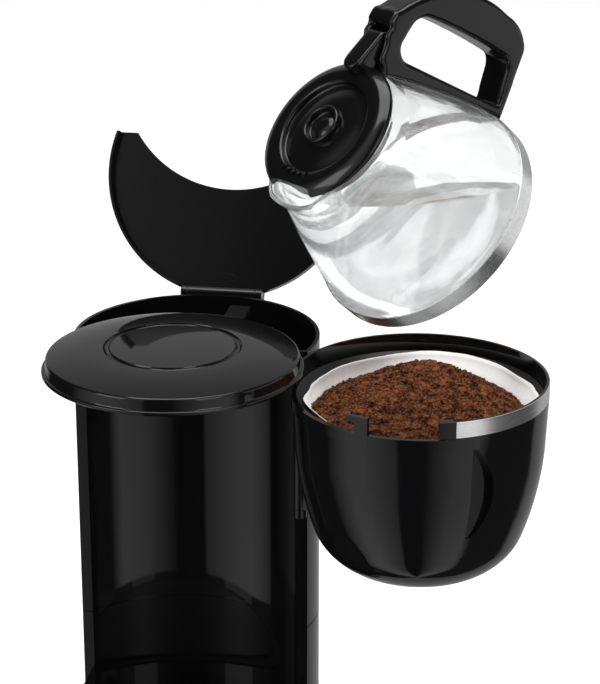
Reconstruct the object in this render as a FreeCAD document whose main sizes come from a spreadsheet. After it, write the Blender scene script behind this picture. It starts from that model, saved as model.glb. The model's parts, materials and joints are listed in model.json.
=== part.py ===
import FreeCAD, Part
import os
import re
import Sketcher

# Drip coffee maker. Millimetres, +Z up. The origin lies on the worktop, on the common upright axis of
# the hot plate, the closed filter basket and the round top cover. +X is the user's right, +Y the back.

# Driving dimensions, and below each of them the sizes that follow from it. Angles are in degrees.
SIZES = {
    # clearances and the reach of cutting tools past the piece they cut
    "wall": 2.5,
    "running_gap": 0.06,
    "part_gap": 0.4,
    "weld_gap": 0.05,
    "overcut": 1,
    # housing plan: the front circle carries the jug, the rear one holds the water tank
    "tank_radius": 82.5,
    "circle_overlap": 9,
    "tank_y": "=tank_radius - circle_overlap",
    "bay_gap": 5,
    "bay_radius": "=tank_radius + bay_gap",
    "horn_setback": 23.5,
    "horn_y": "=tank_y - horn_setback",
    # housing heights
    "foot_height": 5,
    "deck_z": 47,
    "seam_z": 108.5,
    "seam_height": 0.8,
    "seam_depth": 0.6,
    "tank_floor_z": 164,
    "cover_z": 322,
    "rim_drop": 12,
    "rim_z": "=cover_z - rim_drop",
    # base
    "plate_sheet": 2.5,
    "foot_radius": 7,
    "foot_inset": 16.5,
    "foot_front_x": "=tank_radius - foot_inset",
    "foot_front_y": -25,
    "foot_rear_x": "=tank_radius - foot_inset",
    "foot_rear_reach": 26.5,
    "foot_rear_y": "=tank_y + foot_rear_reach",
    "boss_radius": 4.5,
    "boss_deck_inset": 13.7,
    "boss_front_angle": -40.9,
    "boss_front_x": "=(tank_radius - boss_deck_inset) * cos(boss_front_angle)",
    "boss_front_y": "=(tank_radius - boss_deck_inset) * sin(boss_front_angle)",
    "boss_wall_inset": 6,
    "boss_rear_angle": 38.5,
    "boss_rear_x": "=(tank_radius - boss_wall_inset) * cos(boss_rear_angle)",
    "boss_rear_y": "=tank_y + (tank_radius - boss_wall_inset) * sin(boss_rear_angle)",
    "screw_radius": 1.3,
    "screw_head_radius": 3.2,
    "screw_head_height": 2,
    "screw_length": 12,
    # hot plate and heater
    "hot_plate_margin": 19.5,
    "hot_plate_radius": "=tank_radius - hot_plate_margin",
    "hot_plate_stand": 3,
    "hot_plate_top": "=deck_z + hot_plate_stand",
    "hot_plate_sheet": 1.5,
    "hot_plate_skirt": 6,
    "hot_plate_edge": 2,
    "seal_width": 3.5,
    "seal_radius": "=hot_plate_radius + seal_width",
    "seal_lip": 2,
    "seal_lip_height": 1.2,
    "heater_inset": 23,
    "heater_radius": "=hot_plate_radius - heater_inset",
    "heater_width": 16,
    "heater_height": 15,
    "pipe_x": 22,
    "pipe_setback": 32.5,
    "pipe_y": "=tank_y + pipe_setback",
    "stub_radius": 4,
    "stub_bore": 2.8,
    "stub_length": 16,
    "stub_lift": 0.4,
    "hose_wall": 1.7,
    "bend_radius": 15,
    "hose_grip": 10,
    "clamp_post_gap": 13,
    "clamp_post_x": "=heater_radius + clamp_post_gap",
    "clamp_end": 12,
    "clamp_length": "=2 * clamp_post_x + clamp_end",
    "clamp_width": 14,
    "clamp_sheet": 2,
    "clamp_post_radius": 5,
    "thermostat_radius": 8,
    "thermostat_height": 6,
    "thermostat_slot": 2,
    "fuse_radius": 2.6,
    "fuse_length": 18,
    "fuse_lead": 6,
    # switch, lamp and mains inlet
    "switch_width": 21,
    "switch_height": 14,
    "switch_depth": 16,
    "switch_z": 26,
    "switch_frame": 2,
    "switch_seat": 0.1,
    "switch_cut": 14.5,
    "rocker_width": 16,
    "rocker_height": 10,
    "rocker_throw_angle": 14,
    "rocker_axis_depth": 4,
    "rocker_radius": 7,
    "rocker_proud": 3.5,
    "rocker_reach": 8,
    "lamp_radius": 2.5,
    "lamp_x": 22,
    "lamp_setback": 2.4,
    "lamp_length": 10,
    "gland_radius": 6,
    "gland_bore": 3.5,
    "gland_flange": 9,
    "gland_flange_sheet": 2,
    "gland_length": 10,
    "gland_z": 24,
    # top cover, roof and shower
    "cover_inset": 1.5,
    "cover_radius": "=tank_radius - cover_inset",
    "cover_overhang": 1.5,
    "cover_flange_radius": "=tank_radius + cover_overhang",
    "cover_flange": 2.5,
    "cover_depth": 10,
    "cover_sheet": 2,
    "cover_draft": 1.3,
    "cover_edge": 0.6,
    "cover_dome": 5.4,
    "cover_haunch_share": 0.7,
    "cover_crown": 0.8,
    "cover_groove_radius": 42,
    "cover_groove_width": 1.6,
    "cover_groove_depth": 0.9,
    "roof_inset": 3,
    "roof_radius": "=cover_radius - roof_inset",
    "roof_sheet": 2,
    "roof_tongue": 36,
    "roof_ring_inset": 12,
    "roof_ring_radius": "=roof_radius - roof_ring_inset",
    "roof_ring_wall": 2,
    "shower_radius": 34,
    "shower_rest": 4.5,
    "shower_face_radius": "=shower_radius - shower_rest",
    "shower_height": 5,
    "shower_sheet": 1.2,
    "shower_hole_radius": 1.3,
    "shower_hole_inset": 9.5,
    "shower_hole_circle": "=shower_face_radius - shower_hole_inset",
    "shower_hole_count": 8,
    "arm_width": 14,
    "arm_height": 3.2,
    "arm_sheet": 0.9,
    "arm_overrun": 8,
    # tank lid, drawn closed and stored open
    "lid_overhang": 6,
    "lid_radius": "=tank_radius + lid_overhang",
    "lid_bay_gap": 2.7,
    "lid_inner_radius": "=bay_radius - lid_bay_gap",
    "lid_horn_reach": 3,
    "lid_horn_y": "=horn_y - lid_horn_reach",
    "lid_sheet": 2.2,
    "lid_drop": 1.6,
    "lid_skirt": 7,
    "lid_skirt_wall": 1.8,
    "lid_opening_angle": 114,
    "hinge_offset": 3.5,
    "hinge_y": "=tank_y + tank_radius + hinge_offset",
    "hinge_radius": 4,
    "hinge_pin_radius": 1.5,
    "hinge_block_half": 24,
    "hinge_block_drop": 14,
    "hinge_ear": 4.5,
    "hinge_ear_room": 4,
    "hinge_relief_radius": 15,
    "hinge_relief_sheet": 1.6,
    # filter basket, drawn closed and stored swung open
    "basket_gap": 1.5,
    "basket_top": "=cover_z - cover_depth - basket_gap",
    "basket_inset": 0.5,
    "basket_radius": "=tank_radius - basket_inset",
    "basket_depth": 125.7,
    "basket_wall": 2.2,
    "basket_swing_angle": 131.4,
    # the bowl's section, as shares of its radius and depth
    "floor_share": 0.58,
    "turn_share": 0.727,
    "turn_height_share": 0.072,
    "knee_share": 0.828,
    "knee_height_share": 0.175,
    "side_share": 0.913,
    "side_height_share": 0.358,
    "shoulder_share": 0.98,
    "shoulder_height_share": 0.636,
    "turn_slant_share": 0.7,
    # basket hinge
    "swing_offset": 4.94,
    "swing_angle": 30.27,
    "swing_x": "=(basket_radius + swing_offset) * cos(swing_angle)",
    "swing_y": "=(basket_radius + swing_offset) * sin(swing_angle)",
    "swing_radius": 4.5,
    "swing_pin_radius": 2,
    "swing_web": 5,
    "swing_web_share": 0.7,
    "swing_ear": 6,
    # band, stepped rim, catch and finger recess
    "band_height": 10.5,
    "band_sheet": 0.6,
    "band_bond": 0.15,
    "band_start_angle": 160.5,
    "band_sweep_angle": 219,
    "swing_top": "=basket_top - band_height",
    "swing_length": 99,
    "swing_bottom": "=swing_top - swing_length",
    "step_start_angle": 62,
    "step_sweep_angle": 91.5,
    "step_depth": 11,
    "step_end_angle": "=step_start_angle + step_sweep_angle",
    "lip_height": 7,
    "lip_proud": 0.8,
    "stop_sweep_angle": 6.5,
    "stop_depth": 6,
    "hook_angle": 119,
    "hook_width": 9,
    "hook_arm": 6,
    "hook_arm_height": 3,
    "grip_angle": 174.3,
    "grip_width": 16.5,
    "grip_round": 42,
    "grip_height": 62,
    "grip_depth": 8.5,
    "grip_drop": 9,
    "grip_ceiling": 1.2,
    # filter holder, paper and grounds
    "holder_inset": 6,
    "holder_radius": "=basket_radius - holder_inset",
    "holder_drop": 13,
    "holder_floor_radius": 15,
    "holder_floor_drop": 108,
    "holder_hole_radius": 7,
    "holder_sheet": 1.6,
    "holder_flange": 3,
    "holder_lip": 6,
    "holder_step": 2,
    "soft_gap": 0.3,
    "soft_slant_share": 1.3,
    "paper_sheet": 0.6,
    "paper_slant_share": 1.2,
    "paper_rise": 3,
    "grounds_level": 12.5,
    "grounds_crown": 13,
    "grounds_haunch_share": 0.76,
    # drip stop
    "seat_radius": 11,
    "seat_depth": 8,
    "stem_radius": 3,
    "tip_radius": 8,
    "tip_height": 3,
    "tip_edge": 1.5,
    "tip_drop": 18,
    "cap_radius": 8,
    "cap_height": 2,
    "valve_seal_sheet": 1.2,
    "valve_seal_lip": 1,
    "spring_radius": 5,
    "spring_wire": 0.5,
    "spring_turn_count": 4,
    # a quarter-round's middle lies this share of its radius inside the corner it rounds
    "round_share": 0.293,
    # glass jug, drawn upright on its own base and stored tipped
    "jug_radius": 70.2,
    "jug_foot_inset": 9.2,
    "jug_foot_radius": "=jug_radius - jug_foot_inset",
    "jug_foot_height": 5,
    "jug_foot_share": 0.76,
    "jug_foot_height_share": 0.35,
    "jug_waist_inset": 8.6,
    "jug_waist_radius": "=jug_radius - jug_waist_inset",
    "jug_neck_inset": 25,
    "jug_neck_radius": "=jug_radius - jug_neck_inset",
    "jug_rim_inset": 3.2,
    "jug_rim_radius": "=jug_neck_radius - jug_rim_inset",
    "jug_rim_z": 104,
    "jug_waist_share": 0.442,
    "jug_waist_z": "=jug_waist_share * jug_rim_z",
    "jug_neck_height": 10,
    "jug_neck_z": "=jug_rim_z - jug_neck_height",
    "jug_rim_band": 4,
    "jug_glass": 2.2,
    "jug_push_up": 4,
    "jug_push_up_radius": 40,
    "spout_reach": 8,
    "spout_radius": 20,
    "spout_foot_radius": 8,
    "spout_overcut": 0.01,
    "jug_band_low": 4,
    "jug_band_high": 15,
    "jug_band_sheet": 0.8,
    "jug_x": 170.7,
    "jug_y": -54.9,
    "jug_lift": 111.7,
    "jug_turn_angle": 47.72,
    "jug_pour_angle": 49,
    # jug handle
    "jug_pivot_reach": 20,
    "jug_pivot_x": "=jug_rim_radius + jug_pivot_reach",
    "jug_pivot_rise": 6,
    "jug_pivot_z": "=jug_rim_z + jug_pivot_rise",
    "jug_pivot_radius": 4,
    "jug_pin_radius": 1.5,
    "jug_pin_length": 18,
    "grip_bar_width": 22,
    "grip_reach": 50.8,
    "grip_outer_x": "=jug_radius + grip_reach",
    "grip_belly_z": 42,
    "grip_low_z": 4.6,
    "grip_heel_share": 0.93,
    "grip_heel_z": 17.5,
    "grip_curve_share": 0.99,
    "grip_curve_z": 27,
    "grip_seat_drop": 0.6,
    "grip_seat_z": "=jug_rim_z - grip_seat_drop",
    "grip_arch_rise": 17,
    "grip_arch_z": "=jug_rim_z + grip_arch_rise",
    "grip_arch_share": 0.84,
    "grip_arch_height_share": 0.79,
    "grip_arch_step": 4,
    "grip_root": 15,
    "pivot_cheek": 0.5,
    "window_inner_gap": 0.2,
    "window_inner_x": "=jug_radius - window_inner_gap",
    "window_bar": 20,
    "window_outer_x": "=grip_outer_x - window_bar",
    "window_low_z": 20.5,
    "window_drop": 3,
    "window_high_z": "=jug_rim_z - window_drop",
    "window_cut_x": 13,
    "window_cut_z": 9,
    "window_head_x": 8.8,
    "window_head_z": 1.4,
    "window_far_x": 14.5,
    "window_far_z": 10,
    "window_crown_x": 20.7,
    "window_crown_z": 1.8,
    "window_bow": 6.25,
    "window_corner_x": 6,
    "window_corner_z": 9.5,
    "window_turn_x": 0.7,
    "window_turn_z": 3.5,
    "window_foot_x": 6.3,
    "window_foot_z": 7.5,
    "lever_slot_height": 20,
    "handle_screw_radius": 2.5,
    "handle_screw_length": 7,
    "handle_screw_share": 0.63,
    "handle_screw_lift": 0.4,
    # jug lid
    "lid_ring_overhang": 1.4,
    "lid_ring_radius": "=jug_rim_radius + lid_ring_overhang",
    "lid_ring_gap": 0.4,
    "lid_ring_low": "=jug_rim_z + lid_ring_gap",
    "lid_ring_height": 5.6,
    "lid_ring_edge": 3,
    "lid_ring_width": 15.4,
    "lid_well_radius": "=lid_ring_radius - lid_ring_width",
    "lid_well_depth": 3.4,
    "lid_well_draft": 2,
    "lid_cone_radius": 13,
    "lid_cone_rise": 3,
    "lid_plug_inset": 5,
    "lid_plug_radius": "=jug_rim_radius - lid_plug_inset",
    "lid_plug_depth": 8,
    "lid_shell": 1.8,
    "lid_slot_count": 5,
    "lid_slot_width": 2,
    "lid_slot_length": 4.5,
    "lid_slot_inset": 2.5,
    "lid_slot_radius": "=lid_well_radius + lid_slot_inset",
    "lid_slot_angle": 9,
    "spout_notch": 34,
    "knob_radius": 12.5,
    "knob_height": 4,
    "knob_wall": 3,
    "knob_bore": "=knob_radius - knob_wall",
    "lever_width": 14,
    "lever_reach": 9,
    "lever_inner_x": "=jug_rim_radius - lever_reach",
    "lever_height": 9,
    "lever_lift": 1.6,
    "lever_nose": 4,
    "lever_root": 3,
    "lever_sag_share": 0.85,
}

doc = FreeCAD.newDocument("drip_coffee_maker")
sheet = doc.addObject("Spreadsheet::Sheet", "sizes")
for row, (alias, size) in enumerate(SIZES.items(), start=1):
    sheet.set(f"A{row}", alias)
    sheet.set(f"B{row}", str(size))
    sheet.setAlias(f"B{row}", alias)
doc.recompute()

nodes = {}


def formula(text):
    """The text of an expression, with every size named in it read from the sheet."""
    return re.sub(r"[a-z]\w*", lambda word: f"sizes.{word[0]}" if word[0] in SIZES else word[0], str(text))


def value(text):
    """The number that an expression gives now."""
    return float(sheet.evalExpression(str(text)))


def bind(piece, prop, text):
    piece.setExpression(prop, formula(text))


def place(piece, x, y, z):
    for axis, text in zip("xyz", (x, y, z)):
        bind(piece, f"Placement.Base.{axis}", text)
    return piece


def box(x, y, z, width, depth, height):
    """A block from its lowest corner."""
    piece = doc.addObject("Part::Box", "block")
    for prop, text in (("Length", width), ("Width", depth), ("Height", height)):
        bind(piece, prop, text)
    return place(piece, x, y, z)


AXES = {
    "x": FreeCAD.Rotation(FreeCAD.Vector(0, 1, 0), 90),
    "y": FreeCAD.Rotation(FreeCAD.Vector(1, 0, 0), -90),
    "z": FreeCAD.Rotation(),
}


def cylinder(radius, height, x=0, y=0, z=0, along="z", sweep=360):
    """A round bar from the centre of its lowest face, or a sector of one."""
    piece = doc.addObject("Part::Cylinder", "bar")
    bind(piece, "Radius", radius)
    bind(piece, "Height", height)
    bind(piece, "Angle", sweep)
    piece.Placement = FreeCAD.Placement(FreeCAD.Vector(), AXES[along])
    return place(piece, x, y, z)


def sector(radius, height, z, start, sweep):
    """A slice of a round bar about the upright axis, from one bearing over an angle."""
    piece = cylinder(radius, height, 0, 0, z, sweep=sweep)
    piece.Placement = FreeCAD.Placement(
        FreeCAD.Vector(0, 0, value(z)), FreeCAD.Rotation(FreeCAD.Vector(0, 0, 1), value(start)))
    return piece


def cut(base, *tools):
    for tool in tools:
        piece = doc.addObject("Part::Cut", "cut")
        piece.Base = base
        piece.Tool = tool
        base = piece
    return base


def fuse(*pieces):
    piece = doc.addObject("Part::MultiFuse", "joined")
    piece.Shapes = list(pieces)
    return piece


def common(*pieces):
    piece = doc.addObject("Part::MultiCommon", "shared")
    piece.Shapes = list(pieces)
    return piece


def turned_about(piece, angle):
    """The piece in a wrapper that turns it about the upright axis."""
    wrapper = doc.addObject("Part::Compound", "turned")
    wrapper.Links = [piece]
    wrapper.Placement = FreeCAD.Placement(
        FreeCAD.Vector(), FreeCAD.Rotation(FreeCAD.Vector(0, 0, 1), value(angle)))
    return wrapper


def pin_point(sketch, geometry, position, prop, text):
    """Ties one coordinate of a sketch point to an expression."""
    number = value(text)
    if abs(number) < 1e-9:
        axis = -2 if prop == "DistanceX" else -1
        sketch.addConstraint(Sketcher.Constraint("PointOnObject", geometry, position, axis))
    elif number > 0:
        index = sketch.addConstraint(Sketcher.Constraint(prop, -1, 1, geometry, position, number))
        sketch.setExpression(f"Constraints[{index}]", formula(text))
    else:
        index = sketch.addConstraint(Sketcher.Constraint(prop, geometry, position, -1, 1, -number))
        sketch.setExpression(f"Constraints[{index}]", formula(f"-({text})"))


def spot(point):
    return FreeCAD.Vector(value(point[0]), value(point[1]), 0)


def curved(corner):
    """Whether a corner carries the point that an arc to it runs through."""
    return isinstance(corner[-1], tuple)


def nearer_end(curve, point):
    """1 for the curve's start point, 2 for its end point, whichever lies at the given point."""
    return 1 if (curve.StartPoint - point).Length < (curve.EndPoint - point).Length else 2


def draw(sketch, outline):
    """A closed outline. A corner is a pair of expressions; a corner with a second pair after it is
    reached by an arc through that second point."""
    ends = [corner[:2] for corner in outline]
    count = len(outline)
    for index, corner in enumerate(outline):
        start = spot(ends[index - 1])
        end = spot(ends[index])
        if curved(corner):
            middle = spot(corner[2])
            leftwards = (middle - start).cross(end - middle).z > 0
            sketch.addGeometry(Part.Arc(start, middle, end) if leftwards else Part.Arc(end, middle, start))
        else:
            sketch.addGeometry(Part.LineSegment(start, end))
    for index, corner in enumerate(outline):
        following = (index + 1) % count
        first_end = nearer_end(sketch.Geometry[index], spot(ends[index]))
        next_start = nearer_end(sketch.Geometry[following], spot(ends[index]))
        sketch.addConstraint(Sketcher.Constraint("Coincident", index, first_end, following, next_start))
        pin_point(sketch, index, first_end, "DistanceX", ends[index][0])
        pin_point(sketch, index, first_end, "DistanceY", ends[index][1])
        if curved(corner):
            through = sketch.addGeometry(Part.Point(spot(corner[2])), True)
            sketch.addConstraint(Sketcher.Constraint("PointOnObject", through, 1, index))
            pin_point(sketch, through, 1, "DistanceX", corner[2][0])
            pin_point(sketch, through, 1, "DistanceY", corner[2][1])


def sketched(plane_role, outline):
    body = doc.addObject("PartDesign::Body", "body")
    sketch = body.newObject("Sketcher::SketchObject", "outline")
    plane = next(feature for feature in body.Origin.OriginFeatures if feature.Role == plane_role)
    sketch.AttachmentSupport = [(plane, "")]
    sketch.MapMode = "FlatFace"
    draw(sketch, outline)
    return body, sketch


def revolve(outline):
    """A turned piece from its half section, as radius and height."""
    body, sketch = sketched("XZ_Plane", outline)
    turn = body.newObject("PartDesign::Revolution", "turn")
    turn.Profile = sketch
    turn.ReferenceAxis = (sketch, ["V_Axis"])
    turn.Angle = 360
    return body


def pad_across(outline, width):
    """A plate of the given width, drawn in the upright X-Z plane and centred on it."""
    body, sketch = sketched("XZ_Plane", outline)
    pad = body.newObject("PartDesign::Pad", "pad")
    pad.Profile = sketch
    pad.Midplane = True
    bind(pad, "Length", width)
    return body


def node(label, piece, pose=None):
    """Names a finished sub-part and puts it in its stored place."""
    piece.Label = label
    if pose is not None:
        piece.Placement = pose
    nodes[label] = piece
    return piece


# Housing outlines


def stadium(radius, bottom, height):
    """The base's plan: the front and rear circles and the straight sides between them."""
    body, sketch = sketched("XY_Plane", [
        (radius, "tank_y"),
        (f"-({radius})", "tank_y", (0, f"tank_y + {radius}")),
        (f"-({radius})", 0),
        (radius, 0, (0, f"-({radius})")),
    ])
    pad = body.newObject("PartDesign::Pad", "pad")
    pad.Profile = sketch
    bind(pad, "Length", height)
    return place(body, 0, 0, bottom)


def crescent(outer, inner, front, bottom, top):
    """The column's plan: the rear circle less the jug bay, its two horns cut off square."""
    height = f"{top} - ({bottom})"
    blank = cylinder(outer, height, 0, "tank_y", bottom)
    bay = cylinder(inner, f"{height} + 2 * overcut", 0, 0, f"{bottom} - overcut")
    ahead = box(f"-({outer}) - overcut", f"{front} - 2 * ({outer})", f"{bottom} - overcut",
                f"2 * ({outer}) + 2 * overcut", f"2 * ({outer})", f"{height} + 2 * overcut")
    return cut(blank, bay, ahead)


def four_corners(make, group_name):
    """One piece at each corner of a group: a pair at the front and a pair at the rear."""
    return [
        make(f"{side} * {group_name}_{end}_x", f"{group_name}_{end}_y")
        for side in (-1, 1) for end in ("front", "rear")]


def cover_boss(x, y):
    return cylinder("boss_radius", "deck_z - wall - foot_height - plate_sheet", x, y,
                    "foot_height + plate_sheet")


def boss_hole(x, y):
    return cylinder("screw_radius", "screw_length", x, y, "foot_height")


INNER = "tank_radius - wall"
BAY_BACK = "bay_radius + wall"
HORN_BACK = "horn_y + wall"


def outer_wall(bottom, top):
    """The column's round outer wall with the square fronts of its two horns."""
    return cut(
        crescent("tank_radius", "bay_radius", "horn_y", bottom, top),
        crescent(INNER, "bay_radius - overcut", HORN_BACK, f"{bottom} - overcut", f"{top} + overcut"))


def inner_wall(bottom, top):
    """The column's hollow wall round the jug bay, from horn to horn."""
    height = f"{top} - ({bottom})"
    return common(
        cut(cylinder(BAY_BACK, height, 0, 0, bottom),
            cylinder("bay_radius", f"{height} + 2 * overcut", 0, 0, f"{bottom} - overcut")),
        box("-2 * bay_radius", HORN_BACK, bottom, "4 * bay_radius", "2 * bay_radius", height))


# Base housing: side wall and deck in one moulding, with the two walls of the lower column set on it
base_blank = stadium("tank_radius", "foot_height", "deck_z - foot_height")
base_hollow = stadium(INNER, "foot_height - overcut", "deck_z - wall - foot_height + overcut")
column_mouth = crescent(INNER, BAY_BACK, HORN_BACK, "deck_z - 2 * wall", "deck_z + overcut")
plate_hole = cylinder("seal_radius", "3 * wall", 0, 0, "deck_z - 2 * wall")
switch_hole = box("-switch_width / 2", "-tank_radius - overcut", "switch_z - switch_height / 2",
                  "switch_width", "switch_cut", "switch_height")
lamp_hole = cylinder("lamp_radius", "tank_radius", "lamp_x", "-tank_radius - overcut", "switch_z", along="y")
gland_hole = cylinder("gland_radius", "2 * gland_length", 0, "tank_y + tank_radius - gland_length", "gland_z",
                      along="y")
base_shell = cut(base_blank, base_hollow, column_mouth, plate_hole, switch_hole, lamp_hole, gland_hole)
bosses = four_corners(cover_boss, "boss")
boss_holes = four_corners(boss_hole, "boss")
node("base_housing", cut(fuse(base_shell, *bosses), *boss_holes))
node("base_rear_wall", outer_wall("deck_z", "seam_z"))
node("base_bay_wall", inner_wall("deck_z", "seam_z"))

# Base plate with the posts that carry the heater clamp
HEATER_TOP = "hot_plate_top - hot_plate_sheet"
HEATER_LOW = "hot_plate_top - hot_plate_sheet - heater_height"
CLAMP_LOW = "hot_plate_top - hot_plate_sheet - heater_height - clamp_sheet"
plate_blank = stadium("tank_radius - wall - part_gap", "foot_height", "plate_sheet")
posts = [
    cylinder("clamp_post_radius", f"{CLAMP_LOW} - foot_height", f"{side} * clamp_post_x", 0, "foot_height")
    for side in (-1, 1)]


def plate_hole_at(x, y):
    return cylinder("screw_radius + part_gap", "plate_sheet + 2 * overcut", x, y, "foot_height - overcut")


post_holes = [
    cylinder("screw_radius", "screw_length", f"{side} * clamp_post_x", 0, f"{CLAMP_LOW} - screw_length")
    for side in (-1, 1)]
node("base_plate", cut(
    fuse(plate_blank, *posts), *post_holes, *four_corners(plate_hole_at, "boss")))


def rubber_foot(x, y):
    return cut(
        cylinder("foot_radius", "foot_height", x, y, 0),
        cylinder("foot_radius / 2", "foot_height / 2", x, y, "-foot_height / 4"))


def base_screw(x, y):
    return fuse(
        cylinder("screw_head_radius", "screw_head_height", x, y, "foot_height - screw_head_height"),
        cylinder("screw_radius", "screw_length", x, y, "foot_height"))


def group(pieces):
    piece = doc.addObject("Part::Compound", "group")
    piece.Links = pieces
    return piece


node("rubber_feet", group(four_corners(rubber_foot, "foot")))
node("base_screws", group(four_corners(base_screw, "boss")))

# Hot plate: a shallow pressed pan, its skirt held in a rubber ring in the deck
node("hot_plate", revolve([
    (0, HEATER_TOP),
    (0, "hot_plate_top"),
    ("hot_plate_radius - hot_plate_edge", "hot_plate_top"),
    ("hot_plate_radius", "hot_plate_top - hot_plate_edge",
     ("hot_plate_radius - round_share * hot_plate_edge", "hot_plate_top - round_share * hot_plate_edge")),
    ("hot_plate_radius", "hot_plate_top - hot_plate_skirt"),
    ("hot_plate_radius - hot_plate_sheet", "hot_plate_top - hot_plate_skirt"),
    ("hot_plate_radius - hot_plate_sheet", HEATER_TOP),
]))
node("hot_plate_seal", revolve([
    ("hot_plate_radius", "deck_z - wall"),
    ("hot_plate_radius", "deck_z + seal_lip_height"),
    ("seal_radius + seal_lip", "deck_z + seal_lip_height"),
    ("seal_radius + seal_lip", "deck_z"),
    ("seal_radius", "deck_z"),
    ("seal_radius", "deck_z - wall"),
]))

# Flow heater under the hot plate, with its two water stubs at the back
STUB_Z = f"{HEATER_LOW} + stub_radius + stub_lift"
STUB_END = "heater_radius + stub_length"
heater_ring = cut(
    cylinder("heater_radius + heater_width / 2", "heater_height", 0, 0, HEATER_LOW),
    cylinder("heater_radius - heater_width / 2", "heater_height + 2 * overcut", 0, 0,
             f"{HEATER_LOW} - overcut"))
STUB_ROOT = "sqrt(heater_radius * heater_radius - pipe_x * pipe_x)"
stubs = [
    cylinder("stub_radius", f"{STUB_END} - {STUB_ROOT}", f"{side} * pipe_x", STUB_ROOT, STUB_Z, along="y")
    for side in (-1, 1)]
stub_bores = [
    cylinder("stub_bore", "stub_length + overcut", f"{side} * pipe_x", "heater_radius", STUB_Z, along="y")
    for side in (-1, 1)]
node("flow_heater", cut(fuse(heater_ring, *stubs), *stub_bores))
clamp_holes = [
    cylinder("screw_radius", "clamp_sheet + 2 * overcut", f"{side} * clamp_post_x", 0,
             f"{CLAMP_LOW} - overcut")
    for side in (-1, 1)]
node("heater_clamp", cut(
    box("-clamp_length / 2", "-clamp_width / 2", CLAMP_LOW, "clamp_length", "clamp_width", "clamp_sheet"),
    *clamp_holes))
node("clamp_screws", group([
    fuse(cylinder("screw_head_radius", "screw_head_height", f"{side} * clamp_post_x", 0, HEATER_LOW),
         cylinder("screw_radius", "screw_length + clamp_sheet", f"{side} * clamp_post_x", 0,
                  f"{HEATER_LOW} - clamp_sheet - screw_length"))
    for side in (-1, 1)]))
node("thermostat", cut(
    cylinder("thermostat_radius", "thermostat_height", 0, "-heater_radius",
             f"{HEATER_LOW} - thermostat_height"),
    box("-thermostat_slot / 2", "-heater_radius - thermostat_radius",
        f"{HEATER_LOW} - thermostat_height - thermostat_slot / 2",
        "thermostat_slot", "2 * thermostat_radius", "thermostat_slot")))
FUSE_Z = f"{HEATER_LOW} - fuse_radius"
node("thermal_fuse", fuse(
    cylinder("fuse_radius", "fuse_length", "-fuse_length / 2", "heater_radius", FUSE_Z, along="x"),
    cylinder("fuse_radius / 3", "fuse_length + 2 * fuse_lead", "-fuse_length / 2 - fuse_lead",
             "heater_radius",
             FUSE_Z, along="x")))


# Water lines: a hose pushed over each stub, bent up into the column


def bent_pipe(radius, x, start_y, start_z, top):
    """A level run towards the back, a quarter bend and an upright run."""
    elbow = doc.addObject("Part::Torus", "elbow")
    bind(elbow, "Radius1", "bend_radius")
    bind(elbow, "Radius2", radius)
    bind(elbow, "Angle3", 90)
    elbow.Placement = FreeCAD.Placement(FreeCAD.Vector(), FreeCAD.Rotation(
        FreeCAD.Vector(0, 0, -1), FreeCAD.Vector(0, 1, 0), FreeCAD.Vector(1, 0, 0), "ZXY"))
    place(elbow, x, "pipe_y - bend_radius", f"{start_z} + bend_radius")
    return fuse(
        cylinder(radius, f"pipe_y - bend_radius - ({start_y})", x, start_y, start_z, along="y"),
        elbow,
        cylinder(radius, f"{top} - ({start_z}) - bend_radius", x, "pipe_y", f"{start_z} + bend_radius"))


FLOOR_LOW = "tank_floor_z - wall"
HOSE_START = f"{STUB_END} - hose_grip"
HOSE_TOP = f"{FLOOR_LOW} - part_gap"
for label, side in (("inlet_hose", -1), ("riser_hose", 1)):
    outer = bent_pipe("stub_radius + hose_wall", f"{side} * pipe_x", HOSE_START, STUB_Z, HOSE_TOP)
    bore = bent_pipe("stub_radius", f"{side} * pipe_x", f"{HOSE_START} - overcut", STUB_Z,
                     f"{HOSE_TOP} + overcut")
    node(label, cut(outer, bore))

node("check_valve", cut(
    fuse(
        cylinder("stub_radius", "hose_grip", "-pipe_x", "pipe_y", f"{HOSE_TOP} - hose_grip"),
        cylinder("stub_radius + hose_wall", "part_gap", "-pipe_x", "pipe_y", HOSE_TOP),
        cylinder("stub_radius", "wall", "-pipe_x", "pipe_y", FLOOR_LOW)),
    cylinder("stub_bore", "3 * hose_grip", "-pipe_x", "pipe_y", f"{HOSE_TOP} - 2 * hose_grip")))
RISER_TOP = "cover_z - cover_depth + roof_sheet + arm_sheet"
node("riser_tube", cut(
    cylinder("stub_radius", f"{RISER_TOP} - ({HOSE_TOP}) + hose_grip", "pipe_x", "pipe_y",
             f"{HOSE_TOP} - hose_grip"),
    cylinder("stub_bore", "cover_z", "pipe_x", "pipe_y", "seam_z")))

# Tank: an outer wall with the hinge parts, a wall round the bay and a floor, welded to a crescent
ROOF_LOW = "cover_z - cover_depth"
ROOF_TOP = "cover_z - cover_depth + roof_sheet"
seam_outside = crescent("tank_radius + overcut", "bay_radius - overcut", "horn_y - overcut",
                        "seam_z - overcut", "seam_z + seam_height")
seam_inside = crescent("tank_radius - seam_depth", "bay_radius + seam_depth", "horn_y + seam_depth",
                       "seam_z - 2 * overcut", "seam_z + seam_height + overcut")
floor_holes = [cylinder("stub_radius", "3 * wall", f"{side} * pipe_x", "pipe_y", "tank_floor_z - 2 * wall")
               for side in (-1, 1)]
hinge_block = fuse(
    box("-hinge_block_half", "tank_y + tank_radius - 1.5 * wall", "rim_z - hinge_block_drop",
        "2 * hinge_block_half", "hinge_y + hinge_radius - tank_y - tank_radius + 1.5 * wall",
        "hinge_block_drop"),
    cylinder("hinge_radius", "2 * hinge_block_half", "-hinge_block_half", "hinge_y", "rim_z", along="x"))
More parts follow.
